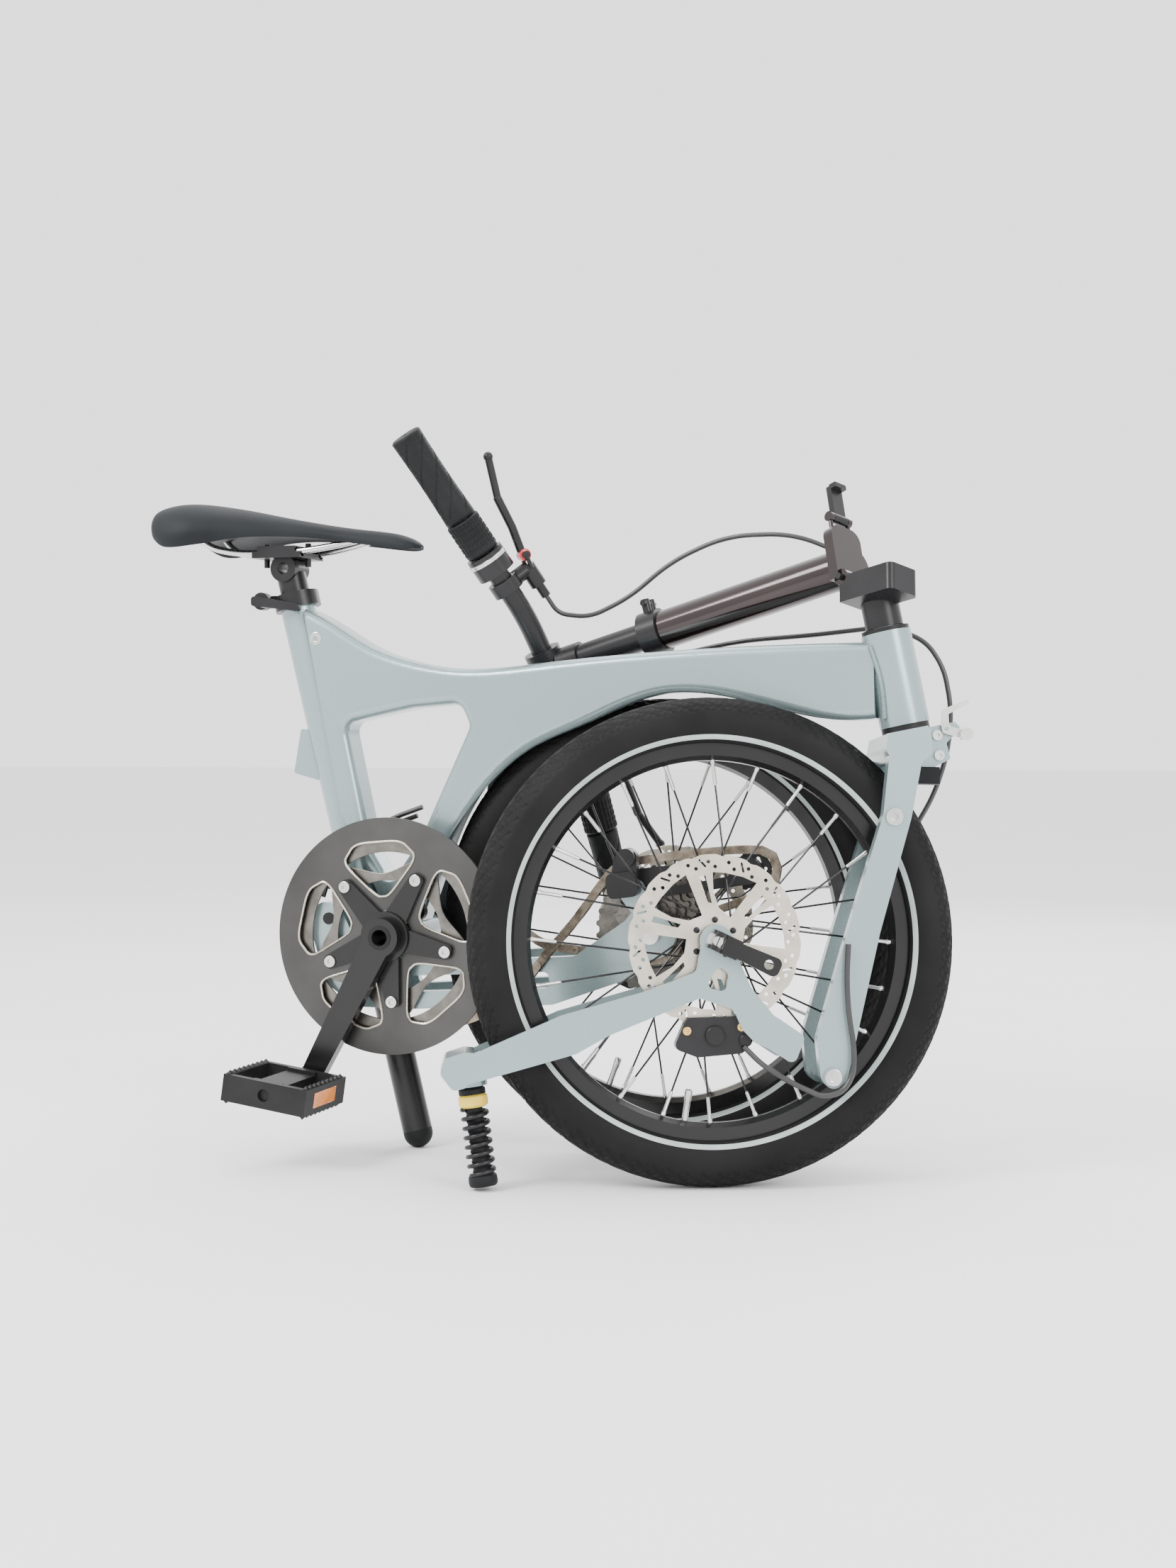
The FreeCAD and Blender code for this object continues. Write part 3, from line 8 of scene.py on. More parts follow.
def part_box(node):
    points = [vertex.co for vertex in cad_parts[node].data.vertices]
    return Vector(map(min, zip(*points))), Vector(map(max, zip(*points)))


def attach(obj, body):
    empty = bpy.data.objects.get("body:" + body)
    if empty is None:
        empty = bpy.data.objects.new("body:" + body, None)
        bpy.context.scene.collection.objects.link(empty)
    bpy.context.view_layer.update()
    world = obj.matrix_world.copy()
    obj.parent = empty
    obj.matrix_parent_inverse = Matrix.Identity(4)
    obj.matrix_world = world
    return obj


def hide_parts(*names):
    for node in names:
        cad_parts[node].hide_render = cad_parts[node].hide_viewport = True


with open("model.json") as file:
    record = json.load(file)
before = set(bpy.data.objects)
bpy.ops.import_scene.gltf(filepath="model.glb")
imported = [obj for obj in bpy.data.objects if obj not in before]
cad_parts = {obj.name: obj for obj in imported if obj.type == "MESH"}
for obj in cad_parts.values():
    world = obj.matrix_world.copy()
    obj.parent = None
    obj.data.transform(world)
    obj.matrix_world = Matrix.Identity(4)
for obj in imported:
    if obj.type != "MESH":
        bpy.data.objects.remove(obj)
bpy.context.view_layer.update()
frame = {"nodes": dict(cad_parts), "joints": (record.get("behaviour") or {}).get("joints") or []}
nodes = frame["nodes"]
joints = {joint["name"]: joint for joint in frame["joints"]}
MM = 0.001
SHIFT = Vector((0.1900916, 0.0251363, 0.0))


# ---- driving dimensions, in millimetres ----
TYRE_RING = 202.5
TYRE_SECTION = 24.8
BEAD_RADIUS = 184.0
RIM_INNER = 168.0
SPOKES = 24
ROTOR_OUTER = 80.0
CHAIN_PITCH = 12.7
SPROCKET_TEETH = (32, 28, 24, 21, 18, 15, 13, 11)
FIRST_SPROCKET = 29.4
SPROCKET_PITCH = 4.8


def spot(x, y, z):
    """Point given in the design's millimetres, as a place in the row frame."""
    return Vector((x, y, z)) * MM + SHIFT


# ---- wheel frames, read from the joints ----
def place_of(joint_name, turn_axis, degrees):
    """Matrix from a wheel's own millimetres (axle along Y) to the row frame."""
    centre = Vector(joints[joint_name]["pos_m"])
    turn = Matrix.Rotation(math.radians(degrees), 4, Vector(turn_axis))
    return Matrix.Translation(centre) @ turn @ Matrix.Scale(MM, 4)


STEER_AXIS = joints["steer"]["axis"]
FRONT = place_of("front_wheel_spin", STEER_AXIS, 22.0)
REAR = place_of("rear_wheel_spin", (0, 0, 1), 5.0)


# ---- materials ----
def new_material(name):
    material = bpy.data.materials.new(name)
    material.use_nodes = True
    tree = material.node_tree
    shader = tree.nodes["Principled BSDF"]
    return material, tree, shader


def add_noise(tree, scale, detail=4.0, stretch=None):
    """Noise in the piece's own coordinates."""
    place = tree.nodes.new("ShaderNodeTexCoord")
    texture = tree.nodes.new("ShaderNodeTexNoise")
    texture.inputs["Scale"].default_value = scale
    texture.inputs["Detail"].default_value = detail
    if stretch:
        mapping = tree.nodes.new("ShaderNodeMapping")
        mapping.inputs["Scale"].default_value = stretch
        tree.links.new(place.outputs["Object"], mapping.inputs["Vector"])
        tree.links.new(mapping.outputs["Vector"], texture.inputs["Vector"])
    else:
        tree.links.new(place.outputs["Object"], texture.inputs["Vector"])
    return texture


def add_ramp(tree, source, low, high, start=0.3, end=0.7):
    ramp = tree.nodes.new("ShaderNodeValToRGB")
    ramp.color_ramp.elements[0].color = (*low, 1)
    ramp.color_ramp.elements[1].color = (*high, 1)
    ramp.color_ramp.elements[0].position = start
    ramp.color_ramp.elements[1].position = end
    tree.links.new(source, ramp.inputs["Fac"])
    return ramp.outputs["Color"]


def add_range(tree, source, low, high):
    spread = tree.nodes.new("ShaderNodeMapRange")
    spread.inputs["From Min"].default_value = 0.3
    spread.inputs["From Max"].default_value = 0.7
    spread.inputs["To Min"].default_value = low
    spread.inputs["To Max"].default_value = high
    tree.links.new(source, spread.inputs["Value"])
    return spread.outputs["Result"]


def add_bump(tree, shader, source, strength, distance):
    bump = tree.nodes.new("ShaderNodeBump")
    bump.inputs["Strength"].default_value = strength
    bump.inputs["Distance"].default_value = distance
    tree.links.new(source, bump.inputs["Height"])
    tree.links.new(bump.outputs["Normal"], shader.inputs["Normal"])


def finish_of(name, dark, light, rough, metallic=0.0, coat=0.0, blotch=9.0, grain=900.0,
              bump=0.1, depth=0.0001, stretch=None, gleam=0.5):
    """Surface with slow colour change, uneven gloss and a fine grain."""
    material, tree, shader = new_material(name)
    slow = add_noise(tree, blotch)
    fine = add_noise(tree, grain, 6.0, stretch)
    tree.links.new(add_ramp(tree, slow.outputs["Fac"], dark, light), shader.inputs["Base Color"])
    tree.links.new(add_range(tree, fine.outputs["Fac"], *rough), shader.inputs["Roughness"])
    shader.inputs["Metallic"].default_value = metallic
    shader.inputs["Coat Weight"].default_value = coat
    shader.inputs["Coat Roughness"].default_value = 0.12
    shader.inputs["Specular IOR Level"].default_value = gleam
    add_bump(tree, shader, fine.outputs["Fac"], bump, depth)
    return material


def leather_finish():
    """Moulded saddle cover: small pebbled cells with worn, smoother patches."""
    material, tree, shader = new_material("saddle_leather")
    place = tree.nodes.new("ShaderNodeTexCoord")
    cells = tree.nodes.new("ShaderNodeTexVoronoi")
    cells.inputs["Scale"].default_value = 700.0
    tree.links.new(place.outputs["Object"], cells.inputs["Vector"])
    slow = add_noise(tree, 14.0)
    colour = add_ramp(tree, slow.outputs["Fac"], (0.006, 0.0075, 0.009), (0.013, 0.016, 0.018))
    tree.links.new(colour, shader.inputs["Base Color"])
    tree.links.new(add_range(tree, slow.outputs["Fac"], 0.48, 0.62), shader.inputs["Roughness"])
    shader.inputs["Specular IOR Level"].default_value = 0.16
    add_bump(tree, shader, cells.outputs["Distance"], 0.25, 0.0003)
    return material


PAINT = finish_of("frame_paint", (0.23, 0.305, 0.31), (0.27, 0.35, 0.355), (0.24, 0.34), 0.5, 0.6,
                  3.0, 2600.0, 0.05, 0.00005)
BLACK = finish_of("black_anodised", (0.006, 0.006, 0.007), (0.012, 0.012, 0.013), (0.25, 0.38), 0.0,
                  0.0, 20.0, 1800.0, 0.08, 0.0001, None, 0.3)
GLOSS = finish_of("gloss_brown_black", (0.014, 0.008, 0.008), (0.03, 0.018, 0.017), (0.12, 0.2), 0.75,
                  0.6, 6.0, 1400.0, 0.03, 0.00005)
RIM_BLACK = finish_of("rim_black", (0.004, 0.004, 0.004), (0.009, 0.009, 0.009), (0.16, 0.26), 0.0, 0.0,
                      12.0, 1200.0, 0.05, 0.0001, None, 0.35)
STEEL = finish_of("polished_steel", (0.5, 0.5, 0.49), (0.68, 0.68, 0.66), (0.14, 0.28), 1.0, 0.0,
                  30.0, 1500.0, 0.06)
DISC = finish_of("disc_steel", (0.50, 0.46, 0.38), (0.68, 0.64, 0.56), (0.22, 0.38), 1.0, 0.0,
                 40.0, 900.0, 0.1)
GUARD = finish_of("guard_metal", (0.045, 0.045, 0.043), (0.08, 0.08, 0.078), (0.28, 0.4), 0.9, 0.0,
                  10.0, 700.0, 0.1, 0.0001, (1, 1, 12))
RING = finish_of("ring_steel", (0.10, 0.095, 0.085), (0.2, 0.19, 0.17), (0.28, 0.42), 1.0, 0.0,
                 60.0, 900.0, 0.12)
CHAIN = finish_of("chain_steel", (0.13, 0.105, 0.075), (0.3, 0.26, 0.21), (0.24, 0.4), 1.0, 0.0,
                  90.0, 900.0, 0.1)
RUBBER = finish_of("tyre_rubber", (0.004, 0.004, 0.004), (0.009, 0.009, 0.0088), (0.5, 0.7), 0.0,
                   0.0, 14.0, 1600.0, 0.25, 0.0002, None, 0.14)
STRIPE = finish_of("pale_stripe", (0.3, 0.36, 0.35), (0.4, 0.46, 0.45), (0.32, 0.45), 0.0, 0.1,
                   40.0, 1600.0, 0.1)
SOFT = finish_of("soft_rubber", (0.005, 0.006, 0.0062), (0.011, 0.012, 0.0125), (0.45, 0.62), 0.0, 0.0,
                 22.0, 1900.0, 0.3, 0.0002, None, 0.16)
CABLE = finish_of("cable_jacket", (0.012, 0.012, 0.012), (0.022, 0.022, 0.022), (0.28, 0.42), 0.0, 0.2,
                  40.0, 2200.0, 0.08)
PLASTIC = finish_of("black_plastic", (0.008, 0.008, 0.008), (0.015, 0.015, 0.015), (0.35, 0.5), 0.0,
                    0.0, 25.0, 2000.0, 0.15, 0.0001, None, 0.2)
YELLOW = finish_of("yellow_elastomer", (0.62, 0.42, 0.03), (0.8, 0.58, 0.06), (0.25, 0.4), 0.0, 0.2,
                   60.0, 1400.0, 0.1)
ORANGE = finish_of("orange_reflector", (0.62, 0.17, 0.02), (0.8, 0.27, 0.04), (0.12, 0.25), 0.0, 0.6,
                   60.0, 600.0, 0.4)
GOLD = finish_of("gold_screws", (0.62, 0.4, 0.12), (0.78, 0.54, 0.2), (0.2, 0.32), 1.0, 0.0,
                 60.0, 1200.0, 0.05)
RED = finish_of("red_accent", (0.42, 0.01, 0.012), (0.55, 0.02, 0.02), (0.2, 0.32), 0.3, 0.5,
                50.0, 1200.0, 0.05)
LEATHER = leather_finish()


# ---- making pieces ----
def piece_from(name, points, faces, materials, indices=None):
    mesh = bpy.data.meshes.new(name)
    mesh.from_pydata([tuple(point) for point in points], [], faces)
    for material in materials:
        mesh.materials.append(material)
    if indices:
        mesh.polygons.foreach_set("material_index", indices)
    mesh.polygons.foreach_set("use_smooth", [True] * len(faces))
    mesh.update()
    piece = bpy.data.objects.new(name, mesh)
    bpy.context.scene.collection.objects.link(piece)
    return piece


def soften_edges(piece, degrees=32.0):
    """Smooth shading with crisp edges where faces meet at more than the angle."""
    piece.data.polygons.foreach_set("use_smooth", [True] * len(piece.data.polygons))
    limit = math.cos(math.radians(degrees))
    edge_faces = {}
    for polygon in piece.data.polygons:
        for key in polygon.edge_keys:
            edge_faces.setdefault(key, []).append(polygon.index)
    sharp = []
    for edge in piece.data.edges:
        sides = edge_faces.get(edge.key, [])
        flat = len(sides) == 2 and (piece.data.polygons[sides[0]].normal.dot(
            piece.data.polygons[sides[1]].normal) > limit)
        sharp.append(not flat)
    piece.data.edges.foreach_set("use_edge_sharp", sharp)


def tube_mesh(path, radii, sides, closed_ends=True):
    """Points and faces of a round tube along a path, with a radius at each point."""
    points = []
    faces = []
    normal = None
    for index, centre in enumerate(path):
        ahead = path[min(index + 1, len(path) - 1)] - path[max(index - 1, 0)]
        ahead = ahead.normalized()
        if normal is None:
            normal = ahead.orthogonal().normalized()
        normal = (normal - ahead * normal.dot(ahead)).normalized()
        across = ahead.cross(normal)
        for side in range(sides):
            angle = 2 * math.pi * side / sides
            offset = normal * math.cos(angle) + across * math.sin(angle)
            points.append(centre + offset * radii[index])
    for index in range(len(path) - 1):
        for side in range(sides):
            after = (side + 1) % sides
            base = index * sides
            faces.append((base + side, base + after, base + sides + after, base + sides + side))
    if closed_ends:
        faces.append(tuple(reversed(range(sides))))
        faces.append(tuple(range((len(path) - 1) * sides, len(path) * sides)))
    return points, faces


def combine(parts):
    """One list of points, faces and material indices from several (points, faces, index)."""
    points = []
    faces = []
    indices = []
    for part_points, part_faces, index in parts:
        base = len(points)
        points += part_points
        faces += [tuple(base + corner for corner in face) for face in part_faces]
        indices += [index] * len(part_faces)
    return points, faces, indices


def loop_points(radius_at, count):
    return [(radius_at(2 * math.pi * index / count) * math.cos(2 * math.pi * index / count),
             radius_at(2 * math.pi * index / count) * math.sin(2 * math.pi * index / count))
            for index in range(count)]


def circle(x, z, radius, count=20):
    return [(x + radius * math.cos(2 * math.pi * index / count),
             z + radius * math.sin(2 * math.pi * index / count)) for index in range(count)]


def turned_loop(loop, degrees):
    turn = math.radians(degrees)
    return [(x * math.cos(turn) - z * math.sin(turn), x * math.sin(turn) + z * math.cos(turn))
            for x, z in loop]


def slot_loop(x0, z0, x1, z1, radius):
    """Outline of a slot between two points."""
    along = math.atan2(z1 - z0, x1 - x0)
    points = []
    for step in range(9):
        angle = along + math.pi / 2 + math.pi * step / 8
        points.append((x0 + radius * math.cos(angle), z0 + radius * math.sin(angle)))
    for step in range(9):
        angle = along - math.pi / 2 + math.pi * step / 8
        points.append((x1 + radius * math.cos(angle), z1 + radius * math.sin(angle)))
    return points


def sheet_part(loops, y_low, y_high, bevel=0.25):
    """Flat metal part with holes: its outline and holes in X and Z, between two heights in Y."""
    curve = bpy.data.curves.new("sheet", "CURVE")
    curve.dimensions = "2D"
    curve.fill_mode = "BOTH"
    curve.extrude = (y_high - y_low) / 2 - bevel
    curve.bevel_depth = bevel
    curve.bevel_resolution = 1
    for loop in loops:
        spline = curve.splines.new("POLY")
        spline.points.add(len(loop) - 1)
        for index, (x, z) in enumerate(loop):
            spline.points[index].co = (x, z, 0, 1)
        spline.use_cyclic_u = True
    holder = bpy.data.objects.new("sheet", curve)
    mesh = bpy.data.meshes.new_from_object(holder)
    middle = (y_low + y_high) / 2
    points = [Vector((v.co.x, middle - v.co.z, v.co.y)) for v in mesh.vertices]
    faces = [tuple(polygon.vertices) for polygon in mesh.polygons]
    bpy.data.objects.remove(holder)
    bpy.data.curves.remove(curve)
    bpy.data.meshes.remove(mesh)
    return points, faces


def moved(points, matrix):
    return [matrix @ Vector(point) for point in points]


def lathe(profile, steps, centre_matrix):
    """Surface turned about the local Y axis; profile is (radius, y) pairs."""
    points = []
    faces = []
    rows = len(profile)
    for step in range(steps):
        angle = 2 * math.pi * step / steps
        for radius, y in profile:
            points.append(centre_matrix @ Vector((radius * math.cos(angle), y,
                                                  radius * math.sin(angle))))
    for step in range(steps):
        after = (step + 1) % steps
        for row in range(rows - 1):
            faces.append((step * rows + row, after * rows + row, after * rows + row + 1,
                          step * rows + row + 1))
    return points, faces


def finish_piece(name, parts, materials, body, replaced=(), crisp=True):
    points, faces, indices = combine(parts)
    piece = piece_from(name, points, faces, materials, indices)
    if crisp:
        soften_edges(piece)
    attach(piece, body)
    if replaced:
        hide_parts(*replaced)
    return piece


# ---- tyres ----
def tread_depth(turn, section):
    """How deep the tread is cut at an angle round the wheel and across the section."""
    across = abs(section)
    if across > 1.15:
        return 0.0
    diagonal = (turn * 88 / (2 * math.pi) + across * 2.4) % 1.0
    rib = min(abs(across - 0.16), abs(across - 0.52), abs(across - 0.9))
    fine = (turn * 176 / (2 * math.pi) - across * 3.6) % 1.0
    cut = 0.0
    if diagonal < 0.2:
        cut = 1.1
    if rib < 0.03:
        cut = max(cut, 0.9)
    if across > 0.55 and fine < 0.22:
        cut = max(cut, 0.7)
    return cut


def tyre_piece(name, place, body, node):
    around = 1056
    sections = [math.radians(-138 + 276 * index / 68) for index in range(69)]
    points = []
    faces = []
    indices = []
    for step in range(around):
        turn = 2 * math.pi * step / around
        for section in sections:
            radius = TYRE_SECTION - tread_depth(turn, section)
            out = TYRE_RING + radius * math.cos(section)
            points.append(place @ Vector((out * math.cos(turn), radius * math.sin(section),
                                          out * math.sin(turn))))
    rows = len(sections)
    for step in range(around):
        after = (step + 1) % around
        for row in range(rows - 1):
            faces.append((step * rows + row, after * rows + row, after * rows + row + 1,
                          step * rows + row + 1))
            middle = math.degrees(abs(sections[row] + sections[row + 1])) / 2
            indices.append(1 if 118 < middle < 131 else 0)
    bead = [(TYRE_RING + TYRE_SECTION * math.cos(sections[0]), TYRE_SECTION * math.sin(sections[0])),
            (BEAD_RADIUS + 0.2, -12.2), (BEAD_RADIUS - 1.2, -11.2)]
    parts = [(points, faces, 0)]
    for sign in (1, -1):
        strip, strip_faces = lathe([(radius, sign * y) for radius, y in bead], 256, place)
        parts.append((strip, strip_faces, 0))
    all_points, all_faces, all_indices = combine(parts)
    all_indices[:len(indices)] = indices
    piece = piece_from(name, all_points, all_faces, [RUBBER, STRIPE], all_indices)
    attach(piece, body)
    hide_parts(node)


# ---- spokes ----
def spokes_piece(name, place, flanges, flange_radius, body, node):
    parts = []
    lead = 48.0
    for index in range(SPOKES):
        side = flanges[index % 2]
        sense = 1 if index % 4 < 2 else -1
        hub_turn = math.radians(index * 360.0 / SPOKES + sense * lead)
        rim_turn = math.radians(index * 360.0 / SPOKES)
        start = Vector((flange_radius * math.cos(hub_turn), side + sense * 3.6,
                        flange_radius * math.sin(hub_turn)))
        flange = Vector((start.x, side + sense * 1.2, start.z))
        over = Vector((start.x, side + sense * 4.2, start.z))
        head, head_faces = tube_mesh([flange, over], [1.4, 1.4], 12)
        parts.append((moved(head, place), head_faces, 0))
        end = Vector((RIM_INNER * math.cos(rim_turn), 3.0 if index % 2 else -3.0,
                      RIM_INNER * math.sin(rim_turn)))
        along = (end - start).normalized()
        neck = end - along * 24
        path = [start, start + along * 8, start + along * 16, neck]
        points, faces = tube_mesh(path, [1.15, 1.15, 0.95, 0.95], 10)
        parts.append((moved(points, place), faces, 0))
        path = [neck, neck + along * 1.5, neck + along * 20, neck + along * 21, end]
        points, faces = tube_mesh(path, [1.2, 1.75, 1.75, 2.3, 2.3], 12)
        parts.append((moved(points, place), faces, 1))
    finish_piece(name, parts, [RIM_BLACK, STEEL], body, (node,))


def valve_piece(name, place, degrees, body):
    turn = math.radians(degrees)
    out = Vector((math.cos(turn), 0, math.sin(turn)))
    path = [out * 168.5, out * 150, out * 149, out * 140, out * 139]
    points, faces = tube_mesh(path, [3.0, 3.0, 3.6, 3.6, 2.4], 16)
    finish_piece(name, [(moved(points, place), faces, 0)], [STEEL], body)


# ---- brake discs ----
def rotor_piece(name, place, y_low, body, node):
    arms = 6
    band_low = 63.5
    outer = loop_points(lambda a: ROTOR_OUTER - 0.4 - 1.6 * max(0.0, math.sin(18 * a)) ** 2, 288)
    loops = [outer]
    step = 360.0 / arms
    for index in range(arms):
        window = [(24, -9.5), (60.5, -27), (63.3, -13), (63.3, 4), (61.5, 15.5), (44, 11), (30, 2.5)]
        loops.append(turned_loop(window, index * step + 18))
        slim = [(33, 9.5), (57, 21), (55, 27), (33, 14)]
        loops.append(turned_loop(slim, index * step + 18))
    for index in range(24):
        loops.append(turned_loop(circle(68.2, 0, 2.0, 14), index * 15))
        loops.append(turned_loop(circle(73.2, 0, 2.0, 14), index * 15 + 5))
    for index in range(12):
        loops.append(turned_loop(slot_loop(69.0, -1.6, 75.4, 2.6, 1.2), index * 30 + 9))
    loops.append(circle(0, 0, 14.4, 48))
    points, faces = sheet_part(loops, y_low, y_low + 1.8, 0.2)
    parts = [(moved(points, place), faces, 0)]
    hub_side = 1 if y_low > 0 else -1
    for index in range(6):
        turn = math.radians(60 * index + 30)
        centre = Vector((19.5 * math.cos(turn), 0, 19.5 * math.sin(turn)))
        face = y_low + (1.8 if hub_side > 0 else 0)
        path = [centre + Vector((0, face, 0)), centre + Vector((0, face + hub_side * 1.6, 0)),
                centre + Vector((0, face + hub_side * 2.0, 0))]
        bolt, bolt_faces = tube_mesh(path, [2.9, 2.9, 2.2], 16)
        parts.append((moved(bolt, place), bolt_faces, 1))
    finish_piece(name, parts, [DISC, BLACK], body, (node,))


# ---- toothed wheels ----
def gear_loop(teeth, root, tip, phase=0.0):
    points = []
    for tooth in range(teeth):
        for share, radius in ((0.0, root), (0.18, root), (0.38, tip), (0.5, tip), (0.62, tip),
                              (0.82, root)):
            angle = 2 * math.pi * (tooth + share) / teeth + phase
            points.append((radius * math.cos(angle), radius * math.sin(angle)))
    return points


def cassette_piece():
    parts = []
    for index, teeth in enumerate(SPROCKET_TEETH):
        pitch = CHAIN_PITCH / 2 / math.sin(math.pi / teeth)
        root = pitch - 3.9
        tip = pitch - 0.6 if teeth in (32, 28, 24, 21) else pitch - 1.0
        y = -FIRST_SPROCKET - index * SPROCKET_PITCH
        loops = [gear_loop(teeth, root, tip, 0.3 * index)]
        if teeth > 20:
            for window in range(6):
                loops.append(turned_loop(slot_loop(root * 0.62, -root * 0.16, root * 0.74,
                                                   root * 0.16, root * 0.1), 60 * window + 8 * index))
        loops.append(circle(0, 0, 14.3, 40))
        points, faces = sheet_part(loops, y - 0.9, y + 0.9, 0.2)
        parts.append((moved(points, REAR), faces, 0))
    ring = [(14.3, -63.5), (17, -63.5), (17, -27.5), (14.3, -27.5), (14.3, -63.5)]
    points, faces = lathe(ring, 64, REAR)
    parts.append((points, faces, 1))
    finish_piece("cassette_sprockets", parts, [RING, BLACK], "cassette", ("cassette",))


def crank_place():
    centre = Vector(joints["crank_turn"]["pos_m"])
    return Matrix.Translation(centre) @ Matrix.Scale(MM, 4)


def chainring_piece():
    loops = [gear_loop(50, 98.0, 102.6)]
    for index in range(5):
        arc = []
        first = 60 + 72 * index + 9
        for step in range(13):
            turn = math.radians(first + 54 * step / 12)
            arc.append((84 * math.cos(turn), 84 * math.sin(turn)))
        for step in range(13):
            turn = math.radians(first + 54 - 54 * step / 12)
            radius = 80 - 18 * math.sin(math.pi * step / 12)
            arc.append((radius * math.cos(turn), radius * math.sin(turn)))
        loops.append(arc)
    loops.append(circle(0, 0, 56, 64))
    points, faces = sheet_part(loops, -49.4, -46.6, 0.4)
    finish_piece("chainring_teeth", [(moved(points, crank_place()), faces, 0)], [RING], "crank",
                 ("chainring",))


def jockey_piece(name, joint, body):
    centre = Vector(joints[joint]["pos_m"])
    place = (Matrix.Translation(centre) @ Matrix.Rotation(math.radians(5.0), 4, (0, 0, 1))
             @ Matrix.Scale(MM, 4))
    loops = [gear_loop(11, 17.6, 20.6)]
    for index in range(6):
        loops.append(turned_loop(slot_loop(9.5, -1.5, 12, 1.5, 2.0), 60 * index))
    loops.append(circle(0, 0, 5, 24))
    points, faces = sheet_part(loops, -1.2, 1.2, 0.3)
    ring = [(2.7, -3.2), (6.2, -3.2), (6.2, 3.2), (2.7, 3.2), (2.7, -3.2)]
    ring_points, ring_faces = lathe(ring, 32, place)
    finish_piece(name, [(moved(points, place), faces, 0), (ring_points, ring_faces, 1)],
                 [PLASTIC, STEEL], body, (body,))


# ---- chain ----
def chain_route():
    """Corners of the chain's path, the same as in the CAD, in design millimetres."""
    rear_axle = Vector((-74, 0, 227.5))
    upper = rear_axle + Vector((-23, 0, 46))
    lower = rear_axle + Vector((96, 0, 62))
    cage_y = -58.2
    turn = math.radians(5.0)
    flat = [(-90, 200.8)]
    for centre, radius, angles in ((rear_axle, 29.4, (-67.5, -22.5, 22.5)),
                                   (lower, 25.2, (-67.5, -22.5, 22.5, 67.5)),
                                   (upper, 24.8, (112.5, 157.5))):
        for angle in angles:
            flat.append((centre.x + radius * math.cos(math.radians(angle)),
                         centre.z + radius * math.sin(math.radians(angle))))
    route = []
    for x, z in flat:
        ahead = x + 408
        route.append(Vector((-408 + ahead * math.cos(turn) - cage_y * math.sin(turn),
                             ahead * math.sin(turn) + cage_y * math.cos(turn), z)))
    route += [Vector((-148, -40, 236)), Vector((-174, -49.8, 206)), Vector((-216, -48.6, 148.8))]
    step = (285.8 - 44.2) / 8
    corner = 101.0 / math.cos(math.radians(step / 2))
    for index in range(8):
        angle = math.radians(285.8 - step * (index + 0.5))
        route.append(Vector((-339 + corner * math.cos(angle), -48, 219 + corner * math.sin(angle))))
    route += [Vector((-190, -38, 212.5)), Vector((-150, -27.6, 209)), Vector((-98, -28.4, 201.4))]
    return route


def smooth_path(route, spacing):
    """Points a fixed distance apart along the route's smooth curve."""
    fine = []
    for index in range(len(route)):
        last = route[index - 1] if index else route[0]
        after = route[index + 1] if index + 1 < len(route) else route[-1]
        start = (last + route[index]) / 2 if index else route[0]
        end = (route[index] + after) / 2 if index + 1 < len(route) else route[-1]
        for step in range(24):
            t = step / 24
            fine.append(start * (1 - t) ** 2 + route[index] * 2 * t * (1 - t) + end * t ** 2)
    fine.append(route[-1])
    picked = [fine[0]]
    carried = 0.0
    for index in range(1, len(fine)):
        length = (fine[index] - fine[index - 1]).length
        while carried + length >= spacing and length > 0:
            share = (spacing - carried) / length
            point = fine[index - 1].lerp(fine[index], share)
            picked.append(point)
            fine[index - 1] = point
            length = (fine[index] - point).length
            carried = 0.0
        carried += length
    return picked


def chain_piece():
    path = smooth_path(chain_route(), CHAIN_PITCH)
    parts = []
    plate_loop = slot_loop(0, 0, CHAIN_PITCH, 0, 3.9)
    waist = []
    for x, z in plate_loop:
        inside = max(0.0, math.sin(math.pi * min(max(x / CHAIN_PITCH, 0), 1)))
        waist.append((x, z * (1 - 0.25 * inside)))
    for index in range(len(path) - 1):
        start = path[index]
        along = (path[index + 1] - start).normalized()
        level = Vector((0, 1, 0))
        level = (level - along * level.dot(along)).normalized()
        up = along.cross(level)
        matrix = Matrix.Translation(start) @ Matrix((along, level, up)).transposed().to_4x4()
        half = 2.9 if index % 2 else 1.9
        for side in (-1, 1):
            points, faces = sheet_part([waist], side * half - 0.4, side * half + 0.4, 0.12)
            parts.append(([spot(*(matrix @ point)) for point in points], faces, 0))
        pin = [matrix @ Vector((0, y, 0)) for y in (-3.6, 3.6)]
        points, faces = tube_mesh([spot(*point) for point in pin], [1.7 * MM] * 2, 10)
        parts.append((points, faces, 0))
        roller = [matrix @ Vector((0, y, 0)) for y in (-1.4, 1.4)]
        points, faces = tube_mesh([spot(*point) for point in roller], [3.4 * MM] * 2, 14)
        parts.append((points, faces, 0))
    finish_piece("chain_links", parts, [CHAIN], "rear_arm", ("chain",))


